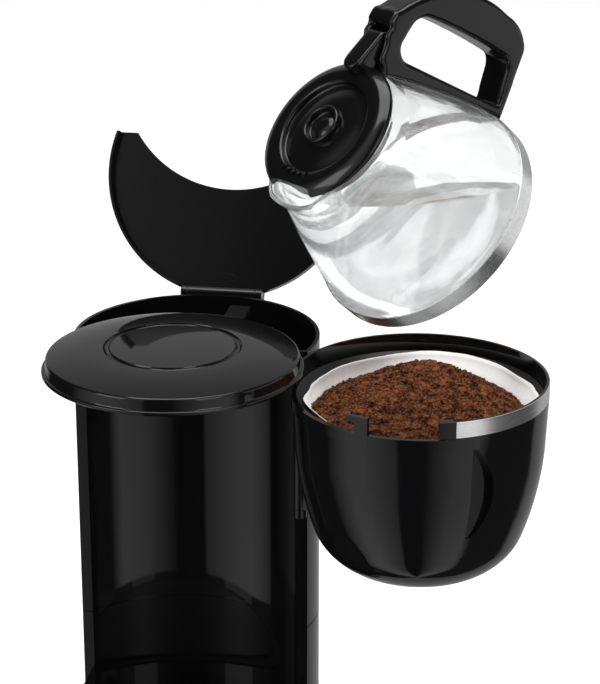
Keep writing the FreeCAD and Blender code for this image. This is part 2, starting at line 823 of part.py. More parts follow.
hinge_bore = cylinder("hinge_pin_radius", "4 * hinge_block_half", "-2 * hinge_block_half", "hinge_y", "rim_z",
                      along="x")


def swing_lug(z):
    """One of the two lugs on the right horn that hold the basket's hinge pin."""
    return fuse(
        cylinder("swing_radius", "swing_ear", "swing_x", "swing_y", z),
        box("swing_x - swing_radius", "swing_y", z, "2 * swing_radius - overcut", "horn_y - swing_y + wall",
            "swing_ear"))


swing_lugs = [swing_lug("swing_top + part_gap"), swing_lug("swing_bottom - swing_ear - part_gap")]
swing_bore = cylinder("swing_pin_radius", "cover_z", "swing_x", "swing_y", "seam_z")
seam_groove = cut(seam_outside, seam_inside)
node("tank_wall", cut(
    fuse(outer_wall("seam_z", "rim_z"), hinge_block, *swing_lugs), seam_groove, hinge_bore, swing_bore))
node("bay_wall", cut(inner_wall("seam_z", "rim_z"), seam_groove))
node("tank_floor", cut(
    crescent(f"{INNER} - weld_gap", f"{BAY_BACK} + weld_gap", f"{HORN_BACK} + weld_gap", FLOOR_LOW,
             "tank_floor_z"),
    *floor_holes))

# Roof frame: a flat disc over the bay on a tongue from the bay wall, with a ring that carries the cover
roof_collar = common(
    cut(cylinder(BAY_BACK, f"{ROOF_TOP} - rim_z", 0, 0, "rim_z"),
        cylinder("bay_radius", f"{ROOF_TOP} - rim_z + 2 * overcut", 0, 0, "rim_z - overcut")),
    box("-roof_tongue", 0, "rim_z", "2 * roof_tongue", "2 * bay_radius", "cover_depth"))
roof_tongue = common(
    cylinder("bay_radius + wall / 2", "roof_sheet", 0, 0, ROOF_LOW),
    box("-roof_tongue", "roof_radius / 2", ROOF_LOW, "2 * roof_tongue", "bay_radius", "roof_sheet"))
roof_disc = cylinder("roof_radius", "roof_sheet", 0, 0, ROOF_LOW)
COVER_UNDER = "cover_z - cover_sheet"
roof_ring = cut(
    cylinder("roof_ring_radius", f"{COVER_UNDER} - ({ROOF_LOW})", 0, 0, ROOF_LOW),
    cylinder("roof_ring_radius - roof_ring_wall", "2 * cover_depth", 0, 0, "cover_z - 2 * cover_depth"),
    box("pipe_x - arm_width / 2 - part_gap", 0, ROOF_TOP, "arm_width + 2 * part_gap", "bay_radius",
        "cover_depth"))
roof_hole = cylinder("shower_face_radius", "2 * cover_depth", 0, 0, "cover_z - 2 * cover_depth")
node("roof_frame", cut(fuse(roof_collar, roof_tongue, roof_disc, roof_ring), roof_hole))

node("swing_pin", cylinder("swing_pin_radius", "swing_top - swing_bottom + 2 * swing_ear + 2 * part_gap",
                           "swing_x", "swing_y", "swing_bottom - swing_ear - part_gap"))
node("lid_pin", cylinder("hinge_pin_radius", "2 * hinge_block_half + 2 * hinge_ear + 2 * part_gap",
                         "-hinge_block_half - hinge_ear - part_gap", "hinge_y", "rim_z", along="x"))

# Shower: a flat duct from the riser and a round spreader let into the roof
shower_blank = fuse(
    cylinder("shower_radius", "shower_height", 0, 0, ROOF_TOP),
    cylinder("shower_face_radius", "roof_sheet", 0, 0, ROOF_LOW))
shower_space = cylinder(
    "shower_face_radius - shower_sheet", "shower_height + roof_sheet - 2 * shower_sheet", 0, 0,
    f"{ROOF_LOW} + shower_sheet")
shower_holes = []
for index in range(SIZES["shower_hole_count"]):
    bearing = f"{index} * 360 / shower_hole_count"
    shower_holes.append(cylinder(
        "shower_hole_radius", "shower_sheet + 2 * overcut", f"shower_hole_circle * cos({bearing})",
        f"shower_hole_circle * sin({bearing})", f"{ROOF_LOW} - overcut"))
arm_mouth = box(
    "pipe_x - arm_width / 2 + arm_sheet", 0, f"{ROOF_TOP} + arm_sheet", "arm_width - 2 * arm_sheet",
    "shower_radius", "arm_height - 2 * arm_sheet")
node("shower_head", cut(shower_blank, shower_space, arm_mouth, *shower_holes))
arm_blank = box("pipe_x - arm_width / 2", 0, ROOF_TOP, "arm_width", "pipe_y + arm_overrun", "arm_height")
arm_space = box(
    "pipe_x - arm_width / 2 + arm_sheet", "-overcut", f"{ROOF_TOP} + arm_sheet", "arm_width - 2 * arm_sheet",
    "pipe_y + arm_overrun + overcut - arm_sheet", "arm_height - 2 * arm_sheet")
node("shower_arm", cut(
    arm_blank, arm_space, cylinder("shower_radius", "cover_depth", 0, 0, ROOF_TOP),
    cylinder("stub_radius", "2 * arm_sheet", "pipe_x", "pipe_y", f"{ROOF_TOP} - arm_sheet")))

# Top cover: a shallow round cap with a flange, a domed top and a ring groove
GROOVE_OUT = "cover_groove_radius + cover_groove_width / 2"
GROOVE_IN = "cover_groove_radius - cover_groove_width / 2"
DOME_Z = "cover_z + cover_dome"
cover_cap = revolve([
    ("cover_flange_radius - cover_edge", ROOF_LOW),
    ("cover_flange_radius", f"{ROOF_LOW} + cover_edge"),
    ("cover_flange_radius", f"{ROOF_LOW} + cover_flange - cover_edge"),
    ("cover_flange_radius - cover_edge", f"{ROOF_LOW} + cover_flange"),
    ("cover_radius + cover_draft", f"{ROOF_LOW} + cover_flange"),
    ("cover_radius + cover_draft / 4", "cover_z - 2 * cover_edge"),
    ("cover_radius - 2 * cover_edge", "cover_z"),
    ("(cover_radius + cover_groove_radius) / 2", "cover_z + cover_haunch_share * cover_dome"),
    (GROOVE_OUT, DOME_Z),
    ("cover_groove_radius", f"{DOME_Z} - cover_groove_depth"),
    (GROOVE_IN, DOME_Z),
    ("cover_groove_radius / 2", f"{DOME_Z} + cover_haunch_share * cover_crown"),
    (0, f"{DOME_Z} + cover_crown"),
    (0, f"{DOME_Z} + cover_crown - cover_sheet"),
    ("cover_groove_radius", f"{DOME_Z} - cover_groove_depth - cover_sheet"),
    ("roof_ring_radius", COVER_UNDER),
    ("cover_radius - cover_sheet", COVER_UNDER),
    ("cover_radius - cover_sheet", ROOF_LOW),
])
tongue_slot = box(
    "-roof_tongue - part_gap", "roof_radius / 2", f"{ROOF_LOW} - overcut", "2 * roof_tongue + 2 * part_gap",
    "bay_radius", "roof_sheet + overcut + part_gap")
arm_slot = box(
    "pipe_x - arm_width / 2 - part_gap", "roof_radius / 2", f"{ROOF_LOW} - overcut",
    "arm_width + 2 * part_gap",
    "bay_radius", "roof_sheet + arm_height + overcut + part_gap")
node("top_cover", cut(cover_cap, tongue_slot, arm_slot))

# Switch, lamp and mains inlet
switch_blank = fuse(
    box("-switch_width / 2", "-tank_radius", "switch_z - switch_height / 2",
        "switch_width", "switch_depth", "switch_height"),
    box("-switch_width / 2 - switch_frame", "-tank_radius - switch_frame",
        "switch_z - switch_height / 2 - switch_frame", "switch_width + 2 * switch_frame",
        "switch_frame + switch_seat", "switch_height + 2 * switch_frame"))
switch_well = box("-rocker_width / 2 - part_gap", "-tank_radius - 2 * switch_frame",
                  "switch_z - rocker_height / 2 - part_gap", "rocker_width + 2 * part_gap",
                  "switch_depth", "rocker_height + 2 * part_gap")
node("switch_body", cut(switch_blank, switch_well))
rocker_axis = cylinder("rocker_radius", "rocker_width", "-rocker_width / 2",
                       "rocker_axis_depth - tank_radius",
                       "switch_z", along="x")
rocker_pose = FreeCAD.Placement(
    FreeCAD.Vector(), FreeCAD.Rotation(FreeCAD.Vector(1, 0, 0), -value("rocker_throw_angle / 2")),
    FreeCAD.Vector(0, value("rocker_axis_depth - tank_radius"), value("switch_z")))
rocker_bar = box("-rocker_width / 2", "-tank_radius - rocker_proud", "switch_z - rocker_height / 2 + overcut",
                 "rocker_width", "rocker_reach", "rocker_height - 2 * overcut")
node("power_rocker", common(rocker_axis, rocker_bar), rocker_pose)
node("indicator_lens", cylinder(
    "lamp_radius", "lamp_length", "lamp_x", "lamp_setback - tank_radius", "switch_z", along="y"))
node("cord_gland", cut(
    fuse(
        cylinder("gland_radius", "gland_length", 0, "tank_y + tank_radius - gland_length", "gland_z",
                 along="y"),
        cylinder("gland_flange", "gland_flange_sheet", 0, "tank_y + tank_radius", "gland_z", along="y")),
    cylinder("gland_bore", "3 * gland_length", 0, "tank_y + tank_radius - 2 * gland_length", "gland_z",
             along="y")))

# Tank lid, drawn closed: a crescent plate with an outer skirt and two hinge ears
LID_TOP = "cover_z - lid_drop"
LID_LOW = "cover_z - lid_drop - lid_sheet"
lid_pose = FreeCAD.Placement(
    FreeCAD.Vector(), FreeCAD.Rotation(FreeCAD.Vector(1, 0, 0), -value("lid_opening_angle")),
    FreeCAD.Vector(0, value("hinge_y"), value("rim_z")))
lid_plate = crescent("lid_radius", "lid_inner_radius", "lid_horn_y", LID_LOW, LID_TOP)
lid_skirt = cut(
    crescent("lid_radius", "lid_inner_radius", "lid_horn_y", f"{LID_LOW} - lid_skirt", LID_LOW),
    cylinder("lid_radius - lid_skirt_wall", "3 * lid_skirt", 0, "tank_y", f"{LID_LOW} - 2 * lid_skirt"),
    box("-hinge_block_half - hinge_ear - hinge_ear_room", "tank_y", f"{LID_LOW} - 2 * lid_skirt",
        "2 * (hinge_block_half + hinge_ear + hinge_ear_room)", "2 * lid_radius", "2 * lid_skirt"))
ears = []
for start in ("hinge_block_half + part_gap", "-hinge_block_half - part_gap - hinge_ear"):
    ears.append(cylinder("hinge_radius", "hinge_ear", start, "hinge_y", "rim_z", along="x"))
    ears.append(box(start, "hinge_y - hinge_radius", "rim_z", "hinge_ear", "2 * hinge_radius",
                    f"{LID_TOP} - rim_z"))
    ears.append(box(start, "hinge_y - 3 * hinge_radius", LID_LOW, "hinge_ear", "3 * hinge_radius",
                    "lid_sheet"))
lid_relief = common(
    cylinder("hinge_relief_radius", "hinge_relief_sheet", 0, "tank_y + lid_radius - wall",
             f"{LID_LOW} - hinge_relief_sheet"),
    cylinder("lid_radius", "cover_z", 0, "tank_y", 0))
ear_bore = cylinder("hinge_pin_radius + running_gap", "4 * hinge_block_half", "-2 * hinge_block_half",
                    "hinge_y",
                    "rim_z", along="x")
node("tank_lid", cut(fuse(lid_plate, lid_skirt, lid_relief, *ears), ear_bore), lid_pose)

# Filter basket, drawn closed
basket_pose = FreeCAD.Placement(
    FreeCAD.Vector(), FreeCAD.Rotation(FreeCAD.Vector(0, 0, 1), value("basket_swing_angle")),
    FreeCAD.Vector(value("swing_x"), value("swing_y"), 0))
FLOOR_Z = "basket_top - basket_depth"
BAND_LOW = "basket_top - band_height"
STEP_Z = "basket_top - step_depth"


def bowl_side(inset):
    """Corners of the bowl's side from its floor up, moved in by an inset."""
    return [
        ("floor_share * basket_radius", f"{FLOOR_Z} + {inset}"),
        (f"knee_share * basket_radius - {inset}", f"{FLOOR_Z} + knee_height_share * basket_depth",
         (f"turn_share * basket_radius - turn_slant_share * {inset}",
          f"{FLOOR_Z} + turn_height_share * basket_depth + turn_slant_share * {inset}")),
        (f"shoulder_share * basket_radius - {inset}", f"{FLOOR_Z} + shoulder_height_share * basket_depth",
         (f"side_share * basket_radius - {inset}", f"{FLOOR_Z} + side_height_share * basket_depth")),
    ]


bowl_blank = revolve([
    (0, FLOOR_Z),
    *bowl_side("0"),
    ("basket_radius", BAND_LOW),
    ("basket_radius", "basket_top"),
    (0, "basket_top"),
])
bowl_space = revolve([
    (0, f"{FLOOR_Z} + basket_wall"),
    *bowl_side("basket_wall"),
    ("basket_radius - basket_wall - holder_flange", "basket_top - holder_drop - holder_flange"),
    ("basket_radius - basket_wall", "basket_top - holder_drop"),
    ("basket_radius - basket_wall", "basket_top + overcut"),
    (0, "basket_top + overcut"),
])


def rim_sector(outer, inner, bottom, height, start, sweep):
    """A part of a ring about the basket's axis."""
    return cut(
        sector(outer, height, bottom, start, sweep),
        cylinder(inner, f"{height} + 2 * overcut", 0, 0, f"{bottom} - overcut"))


# The rim is stepped down beside the hinge. A lip runs under the step, a stop ends the full rim.
band_seat = rim_sector("basket_radius + overcut", "basket_radius - band_sheet - band_bond", BAND_LOW,
                       "band_height + overcut", "band_start_angle", "band_sweep_angle")
rim_step = rim_sector("basket_radius + overcut", "basket_radius - 2 * basket_wall", STEP_Z,
                      "step_depth + overcut", "step_start_angle", "step_sweep_angle")
step_lip = rim_sector("basket_radius + lip_proud", "basket_radius - basket_wall", f"{STEP_Z} - lip_height",
                      "lip_height", "step_start_angle", "step_sweep_angle + stop_sweep_angle")
rim_stop = rim_sector("basket_radius", "basket_radius - stop_depth", STEP_Z, "step_depth", "step_end_angle",
                      "stop_sweep_angle")
HOOK_X = "basket_radius - basket_wall"
hook_post = box(HOOK_X, "-hook_width / 2", f"{STEP_Z} - lip_height", "basket_wall + lip_proud", "hook_width",
                "step_depth + lip_height")
hook_arm = box(HOOK_X, "-hook_width / 2 - hook_arm", "basket_top - hook_arm_height",
               "basket_wall + lip_proud",
               "hook_width / 2 + hook_arm", "hook_arm_height")
hook = turned_about(fuse(hook_post, hook_arm), "hook_angle")

# Hinge barrel on a web at the basket's right
SWING_RADIUS = "basket_radius + swing_offset"
WEB_START = "swing_web_share * basket_radius"
swing_web = box(WEB_START, "-swing_web / 2", "swing_bottom", f"{SWING_RADIUS} - {WEB_START}", "swing_web",
                "swing_top - swing_bottom")
swing_barrel = cylinder("swing_radius", "swing_top - swing_bottom", "swing_x", "swing_y", "swing_bottom")
hinge_web = cut(
    fuse(turned_about(swing_web, "swing_angle"), swing_barrel),
    bowl_space,
    cylinder("swing_pin_radius + running_gap", "cover_z", "swing_x", "swing_y", "0"))

# Finger recess: straight on one side, round on the other, with a wall behind it
GRIP_LOW = f"{BAND_LOW} - grip_drop - grip_height"
GRIP_X = "basket_radius - grip_depth"
grip_scoop = turned_about(
    common(
        box(GRIP_X, "-grip_width / 2", GRIP_LOW, "2 * grip_depth", "grip_width", "grip_height"),
        cylinder("grip_round", "2 * grip_depth", GRIP_X, "grip_width / 2 - grip_round",
                 f"{GRIP_LOW} + grip_height / 2", along="x")),
    "grip_angle")
grip_back = turned_about(
    box(f"{GRIP_X} - basket_wall", "-grip_width / 2 - basket_wall", f"{GRIP_LOW} - basket_wall",
        "grip_depth", "grip_width + 2 * basket_wall", "grip_height + basket_wall + grip_ceiling"),
    "grip_angle")
grip_wall = common(grip_back, bowl_blank)
outlet_hole = cylinder("stem_radius + running_gap", "2 * basket_depth", 0, 0,
                       "basket_top - 1.5 * basket_depth")
rim = cut(cut(bowl_blank, bowl_space), band_seat, rim_step)
node("basket_shell", cut(
    fuse(cut(fuse(rim, grip_wall), grip_scoop), step_lip, rim_stop, hook, hinge_web), outlet_hole),
    basket_pose)
node("trim_band", rim_sector(
    "basket_radius", "basket_radius - band_sheet", BAND_LOW, "band_height", "band_start_angle",
    "band_sweep_angle"), basket_pose)

# Filter holder: a funnel that hangs by its flange on the basket's inner ledge
HOLDER_Z = "basket_top - holder_drop"
HOLDER_FLOOR = "basket_top - holder_floor_drop"
CONE_TOP = f"({HOLDER_Z} - holder_flange - holder_step)"
CONE_LOW = f"({HOLDER_FLOOR} + holder_sheet)"
CONE_LOW_RADIUS = "(holder_floor_radius - holder_sheet)"
CONE_TOP_RADIUS = "(holder_radius - holder_lip - holder_sheet)"
CONE_SLOPE = f"(({CONE_TOP_RADIUS} - {CONE_LOW_RADIUS}) / ({CONE_TOP} - {CONE_LOW}))"
LIP_RADIUS = "basket_radius - basket_wall - part_gap"


def cone_at(z, inset):
    """Radius of the funnel's inner face at a height, less an inset."""
    return f"{CONE_LOW_RADIUS} + ({z} - {CONE_LOW}) * {CONE_SLOPE} - ({inset})"


node("filter_holder", revolve([
    ("holder_hole_radius", HOLDER_FLOOR),
    ("holder_floor_radius", HOLDER_FLOOR),
    ("holder_radius - holder_lip", CONE_TOP),
    ("holder_radius", f"{HOLDER_Z} - holder_flange"),
    (LIP_RADIUS, HOLDER_Z),
    (LIP_RADIUS, f"{HOLDER_Z} + holder_sheet"),
    ("holder_radius - part_gap", f"{HOLDER_Z} - holder_flange + holder_sheet"),
    (CONE_TOP_RADIUS, f"{CONE_TOP} + part_gap"),
    (CONE_LOW_RADIUS, CONE_LOW),
    ("holder_hole_radius", CONE_LOW),
]), basket_pose)

# Paper filter standing in the funnel and the heaped grounds inside it
PAPER_LOW = f"{CONE_LOW} + soft_gap"
PAPER_TOP = f"{HOLDER_Z} + paper_rise"
PAPER_FLOOR = f"{PAPER_LOW} + paper_sheet"
PAPER_OUT = "soft_slant_share * soft_gap"
PAPER_IN = "soft_slant_share * soft_gap + paper_slant_share * paper_sheet"
node("paper_filter", revolve([
    (0, PAPER_LOW),
    (cone_at(PAPER_LOW, PAPER_OUT), PAPER_LOW),
    (cone_at(PAPER_TOP, PAPER_OUT), PAPER_TOP),
    (cone_at(PAPER_TOP, PAPER_IN), PAPER_TOP),
    (cone_at(PAPER_FLOOR, PAPER_IN), PAPER_FLOOR),
    (0, PAPER_FLOOR),
]), basket_pose)
GROUNDS_LOW = f"{PAPER_FLOOR} + soft_gap"
GROUNDS_EDGE = "basket_top - grounds_level"
GROUNDS_IN = "2 * soft_slant_share * soft_gap + paper_slant_share * paper_sheet"
node("ground_coffee", revolve([
    (0, GROUNDS_LOW),
    (cone_at(GROUNDS_LOW, GROUNDS_IN), GROUNDS_LOW),
    (cone_at(GROUNDS_EDGE, GROUNDS_IN), GROUNDS_EDGE),
    (f"({cone_at(GROUNDS_EDGE, GROUNDS_IN)}) / 2", f"{GROUNDS_EDGE} + grounds_haunch_share * grounds_crown"),
    (0, f"{GROUNDS_EDGE} + grounds_crown"),
]), basket_pose)

# Drip stop in the basket floor
node("valve_seat", cut(
    cylinder("seat_radius", "seat_depth", 0, 0, f"{FLOOR_Z} - seat_depth"),
    cylinder("stem_radius + running_gap", "4 * seat_depth", 0, 0, f"{FLOOR_Z} - 2 * seat_depth")),
    basket_pose)
TIP_Z = f"{FLOOR_Z} - tip_drop"
CAP_Z = f"{FLOOR_Z} + basket_wall"
node("drip_valve", revolve([
    (0, TIP_Z),
    ("tip_radius - tip_edge", TIP_Z),
    ("tip_radius", f"{TIP_Z} + tip_edge",
     ("tip_radius - round_share * tip_edge", f"{TIP_Z} + round_share * tip_edge")),
    ("tip_radius", f"{TIP_Z} + tip_height"),
    ("stem_radius", f"{TIP_Z} + tip_height"),
    ("stem_radius", f"{CAP_Z} + valve_seal_sheet"),
    ("cap_radius", f"{CAP_Z} + valve_seal_sheet"),
    ("cap_radius", f"{CAP_Z} + valve_seal_sheet + cap_height"),
    (0, f"{CAP_Z} + valve_seal_sheet + cap_height"),
]), basket_pose)
node("valve_seal", revolve([
    ("stem_radius", CAP_Z),
    ("stem_radius", f"{CAP_Z} + valve_seal_sheet"),
    ("cap_radius + valve_seal_lip", f"{CAP_Z} + valve_seal_sheet"),
    ("cap_radius + valve_seal_lip", CAP_Z),
]), basket_pose)

SPRING_GAP = "tip_drop - tip_height - seat_depth"
SPRING_Z = f"{TIP_Z} + tip_height + spring_wire"
spring, wire_section = sketched("XZ_Plane", [
    ("spring_radius - spring_wire", SPRING_Z, ("spring_radius", f"{SPRING_Z} + spring_wire")),
    ("spring_radius + spring_wire", SPRING_Z, ("spring_radius", f"{SPRING_Z} - spring_wire")),
])
coil = spring.newObject("PartDesign::AdditiveHelix", "coil")
coil.Profile = wire_section
coil.ReferenceAxis = (wire_section, ["V_Axis"])
coil.Mode = 0
bind(coil, "Height", f"{SPRING_GAP} - 2 * spring_wire")
bind(coil, "Pitch", f"({SPRING_GAP} - 2 * spring_wire) / spring_turn_count")
node("valve_spring", spring, basket_pose)

# Glass jug, drawn upright with its handle towards +X and its spout towards -X
jug_pose = FreeCAD.Placement(
    FreeCAD.Vector(value("jug_x"), value("jug_y"), value("cover_z + jug_lift")),
    FreeCAD.Rotation(value("jug_turn_angle"), -value("jug_pour_angle"), 0))


def jug_profile(inset, floor, top):
    """Half section of the jug's outer face, or of the space inside it."""
    return [
        (0, f"jug_push_up + {floor}"),
        ("jug_push_up_radius", floor),
        (f"jug_foot_radius - {inset}", floor),
        (f"jug_radius - {inset}", f"jug_foot_height + {floor}",
         (f"jug_foot_radius - {inset} + jug_foot_share * (jug_radius - jug_foot_radius)",
          f"{floor} + jug_foot_height_share * jug_foot_height")),
        (f"jug_radius - {inset}", "jug_band_high"),
        (f"jug_neck_radius - {inset}", "jug_neck_z", (f"jug_waist_radius - {inset}", "jug_waist_z")),
        (f"jug_rim_radius - {inset}", "jug_rim_z - jug_rim_band"),
        (f"jug_rim_radius - {inset}", top),
        (0, top),
    ]


def spout_cone(inset, top):
    """The pouring lip, a small upright cone at the front of the neck."""
    piece = doc.addObject("Part::Cone", "spout")
    bind(piece, "Radius1", f"spout_foot_radius - {inset}")
    bind(piece, "Radius2", f"spout_radius - {inset}")
    bind(piece, "Height", f"{top} - jug_neck_z")
    return place(piece, "spout_radius - jug_rim_radius - spout_reach", 0, "jug_neck_z")


jug_body = fuse(revolve(jug_profile("0", "0", "jug_rim_z")), spout_cone("0", "jug_rim_z"))
jug_space = fuse(revolve(jug_profile("jug_glass", "jug_glass", "jug_rim_z + overcut")),
                 spout_cone("jug_glass", "jug_rim_z + spout_overcut"))
node("jug_glass", cut(jug_body, jug_space), jug_pose)
band_blank = cylinder("jug_radius + jug_band_sheet", "jug_band_high - jug_band_low", 0, 0, "jug_band_low")
node("jug_band", cut(band_blank, jug_body), jug_pose)

# Jug handle: a D-shaped grip whose inner strip follows the glass
PIVOT_CHEEK = "jug_pivot_radius + pivot_cheek"
grip_blank = pad_across([
    ("jug_rim_radius", "jug_rim_z - grip_root"),
    ("jug_rim_radius", "grip_seat_z"),
    (f"jug_pivot_x - ({PIVOT_CHEEK})", "grip_seat_z"),
    (f"jug_pivot_x - ({PIVOT_CHEEK})", "jug_pivot_z"),
    (f"jug_pivot_x + {PIVOT_CHEEK}", "jug_pivot_z", ("jug_pivot_x", f"jug_pivot_z + {PIVOT_CHEEK}")),
    ("jug_pivot_x + 2 * jug_pivot_radius", "grip_arch_z - grip_arch_step"),
    ("grip_outer_x", "grip_belly_z",
     ("grip_arch_share * grip_outer_x", "grip_arch_height_share * grip_arch_z")),
    ("grip_heel_share * grip_outer_x", "grip_heel_z", ("grip_curve_share * grip_outer_x", "grip_curve_z")),
    ("jug_radius - jug_glass", "grip_low_z"),
    ("jug_radius - jug_glass", "jug_band_high + overcut"),
], "grip_bar_width")
window = pad_across([
    ("window_inner_x - window_cut_x", "window_high_z - window_cut_z"),
    ("window_inner_x", "window_high_z",
     ("window_inner_x - window_head_x", "window_high_z - window_head_z")),
    ("window_outer_x - window_far_x", "window_high_z - window_far_z",
     ("window_outer_x - window_crown_x", "window_high_z - window_crown_z")),
    ("window_outer_x", "window_low_z + window_corner_z",
     ("window_outer_x - window_bow", "(window_low_z + window_high_z) / 2")),
    ("window_outer_x - window_corner_x", "window_low_z",
     ("window_outer_x - window_turn_x", "window_low_z + window_turn_z")),
    ("jug_radius + window_foot_x", "window_low_z - window_foot_z"),
], "2 * grip_bar_width")
lever_slot = box(
    "jug_rim_radius", "-lever_width / 2 - part_gap", "grip_seat_z + overcut",
    "jug_pivot_x + jug_pivot_radius + part_gap - jug_rim_radius", "lever_width + 2 * part_gap",
    "lever_slot_height")
pivot_bore = cylinder("jug_pin_radius", "2 * jug_pin_length", "jug_pivot_x", "-jug_pin_length", "jug_pivot_z",
                      along="y")
SCREW_X = "handle_screw_share * grip_outer_x"
SCREW_Z = "grip_low_z + handle_screw_lift"
screw_bore = cylinder("handle_screw_radius", "handle_screw_length", SCREW_X, 0, SCREW_Z)
node("jug_handle", cut(
    grip_blank, window, lever_slot, pivot_bore, screw_bore, jug_body, band_blank), jug_pose)
screw_slot = box(
    f"{SCREW_X} - handle_screw_radius", "-screw_radius / 2", f"{SCREW_Z} - screw_radius",
    "2 * handle_screw_radius", "screw_radius", "2 * screw_radius")
node("handle_screw", cut(
    cylinder("handle_screw_radius", "handle_screw_length", SCREW_X, 0, SCREW_Z), screw_slot), jug_pose)
node("jug_lid_pin", group([
    cylinder("jug_pin_radius", "jug_pin_length", "jug_pivot_x", "-jug_pin_length / 2", "jug_pivot_z",
             along="y")]),
    jug_pose)

# Jug lid with its thumb lever
RING_TOP = "lid_ring_low + lid_ring_height"
WELL_Z = f"{RING_TOP} - lid_well_depth"
CONE_Z = f"{WELL_Z} + lid_cone_rise"
lid_cap = revolve([
    (0, f"{CONE_Z} - lid_shell"),
    (0, CONE_Z),
    ("lid_cone_radius", CONE_Z),
    ("lid_well_radius", WELL_Z),
    ("lid_well_radius + lid_well_draft", RING_TOP),
    ("lid_ring_radius - lid_ring_edge", RING_TOP),
    ("lid_ring_radius", f"{RING_TOP} - lid_ring_edge",
     ("lid_ring_radius - round_share * lid_ring_edge", f"{RING_TOP} - round_share * lid_ring_edge")),
    ("lid_ring_radius", "lid_ring_low"),
    ("lid_plug_radius", "lid_ring_low"),
    ("lid_plug_radius", "lid_ring_low - lid_plug_depth"),
    ("lid_plug_radius - lid_shell", "lid_ring_low - lid_plug_depth"),
    ("lid_plug_radius - lid_shell", f"{WELL_Z} - lid_shell"),
    ("lid_well_radius", f"{WELL_Z} - lid_shell"),
    ("lid_cone_radius", f"{CONE_Z} - lid_shell"),
])
spout_gap = box("-2 * lid_ring_radius", "-spout_notch / 2", "lid_ring_low - 2 * lid_plug_depth",
                "2 * lid_ring_radius - lid_plug_radius - overcut", "spout_notch", "4 * lid_plug_depth")
pour_slots = [
    turned_about(
        box("-lid_slot_radius - lid_slot_length / 2", "-lid_slot_width / 2",
            "lid_ring_low - 2 * lid_plug_depth",
            "lid_slot_length", "lid_slot_width", "4 * lid_plug_depth"),
        f"lid_slot_angle * ({index} - (lid_slot_count - 1) / 2)")
    for index in range(SIZES["lid_slot_count"])]
LEVER_TOP = f"{RING_TOP} + lever_height"
lever_side = pad_across([
    ("lid_plug_radius", "lid_ring_low + lever_lift"),
    ("jug_pivot_x", "lid_ring_low + lever_lift"),
    ("jug_pivot_x", "jug_pivot_z + jug_pivot_radius", ("jug_pivot_x + jug_pivot_radius", "jug_pivot_z")),
    ("lever_inner_x + lever_nose", LEVER_TOP,
     ("(lever_inner_x + jug_pivot_x) / 2", f"{RING_TOP} + lever_sag_share * lever_height")),
    ("lever_inner_x", f"{LEVER_TOP} - lever_nose",
     ("lever_inner_x + round_share * lever_nose", f"{LEVER_TOP} - round_share * lever_nose")),
    ("lever_inner_x + lever_root", f"{RING_TOP} - overcut"),
], "lever_width")
NOSE_X = "lever_inner_x + lever_width / 2"
lever_plan = fuse(
    cylinder("lever_width / 2", "2 * lever_slot_height", NOSE_X, 0, "lid_ring_low"),
    box(NOSE_X, "-lever_width / 2", "lid_ring_low", "jug_rim_radius", "lever_width", "2 * lever_slot_height"))
lever = common(lever_side, lever_plan)
lever_bore = cylinder("jug_pin_radius + running_gap", "2 * jug_pin_length", "jug_pivot_x", "-jug_pin_length",
                      "jug_pivot_z", along="y")
node("jug_lid", cut(fuse(lid_cap, lever), spout_gap, lever_bore, *pour_slots), jug_pose)
node("lid_knob", cut(
    cylinder("knob_radius", "knob_height", 0, 0, CONE_Z),
    cylinder("knob_bore", "2 * knob_height", 0, 0, CONE_Z)), jug_pose)

doc.recompute()
failed = [item.Name for item in doc.Objects if "Invalid" in item.State or "Error" in item.State]
if failed:
    raise SystemExit(f"failed features: {failed}")
for label, piece in nodes.items():
    if piece.Shape.isNull() or not piece.Shape.isValid():
        raise SystemExit(f"{label} has no valid shape")
os.makedirs("parts", exist_ok=True)
for label, piece in nodes.items():
    piece.Shape.exportStep(f"parts/{label}.step")
    print(f"{label}: {len(piece.Shape.Solids)} solid(s), {piece.Shape.Volume / 1000:.2f} cm3")
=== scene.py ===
import json
import math
import random
import bpy
from mathutils import Matrix, Vector, noise


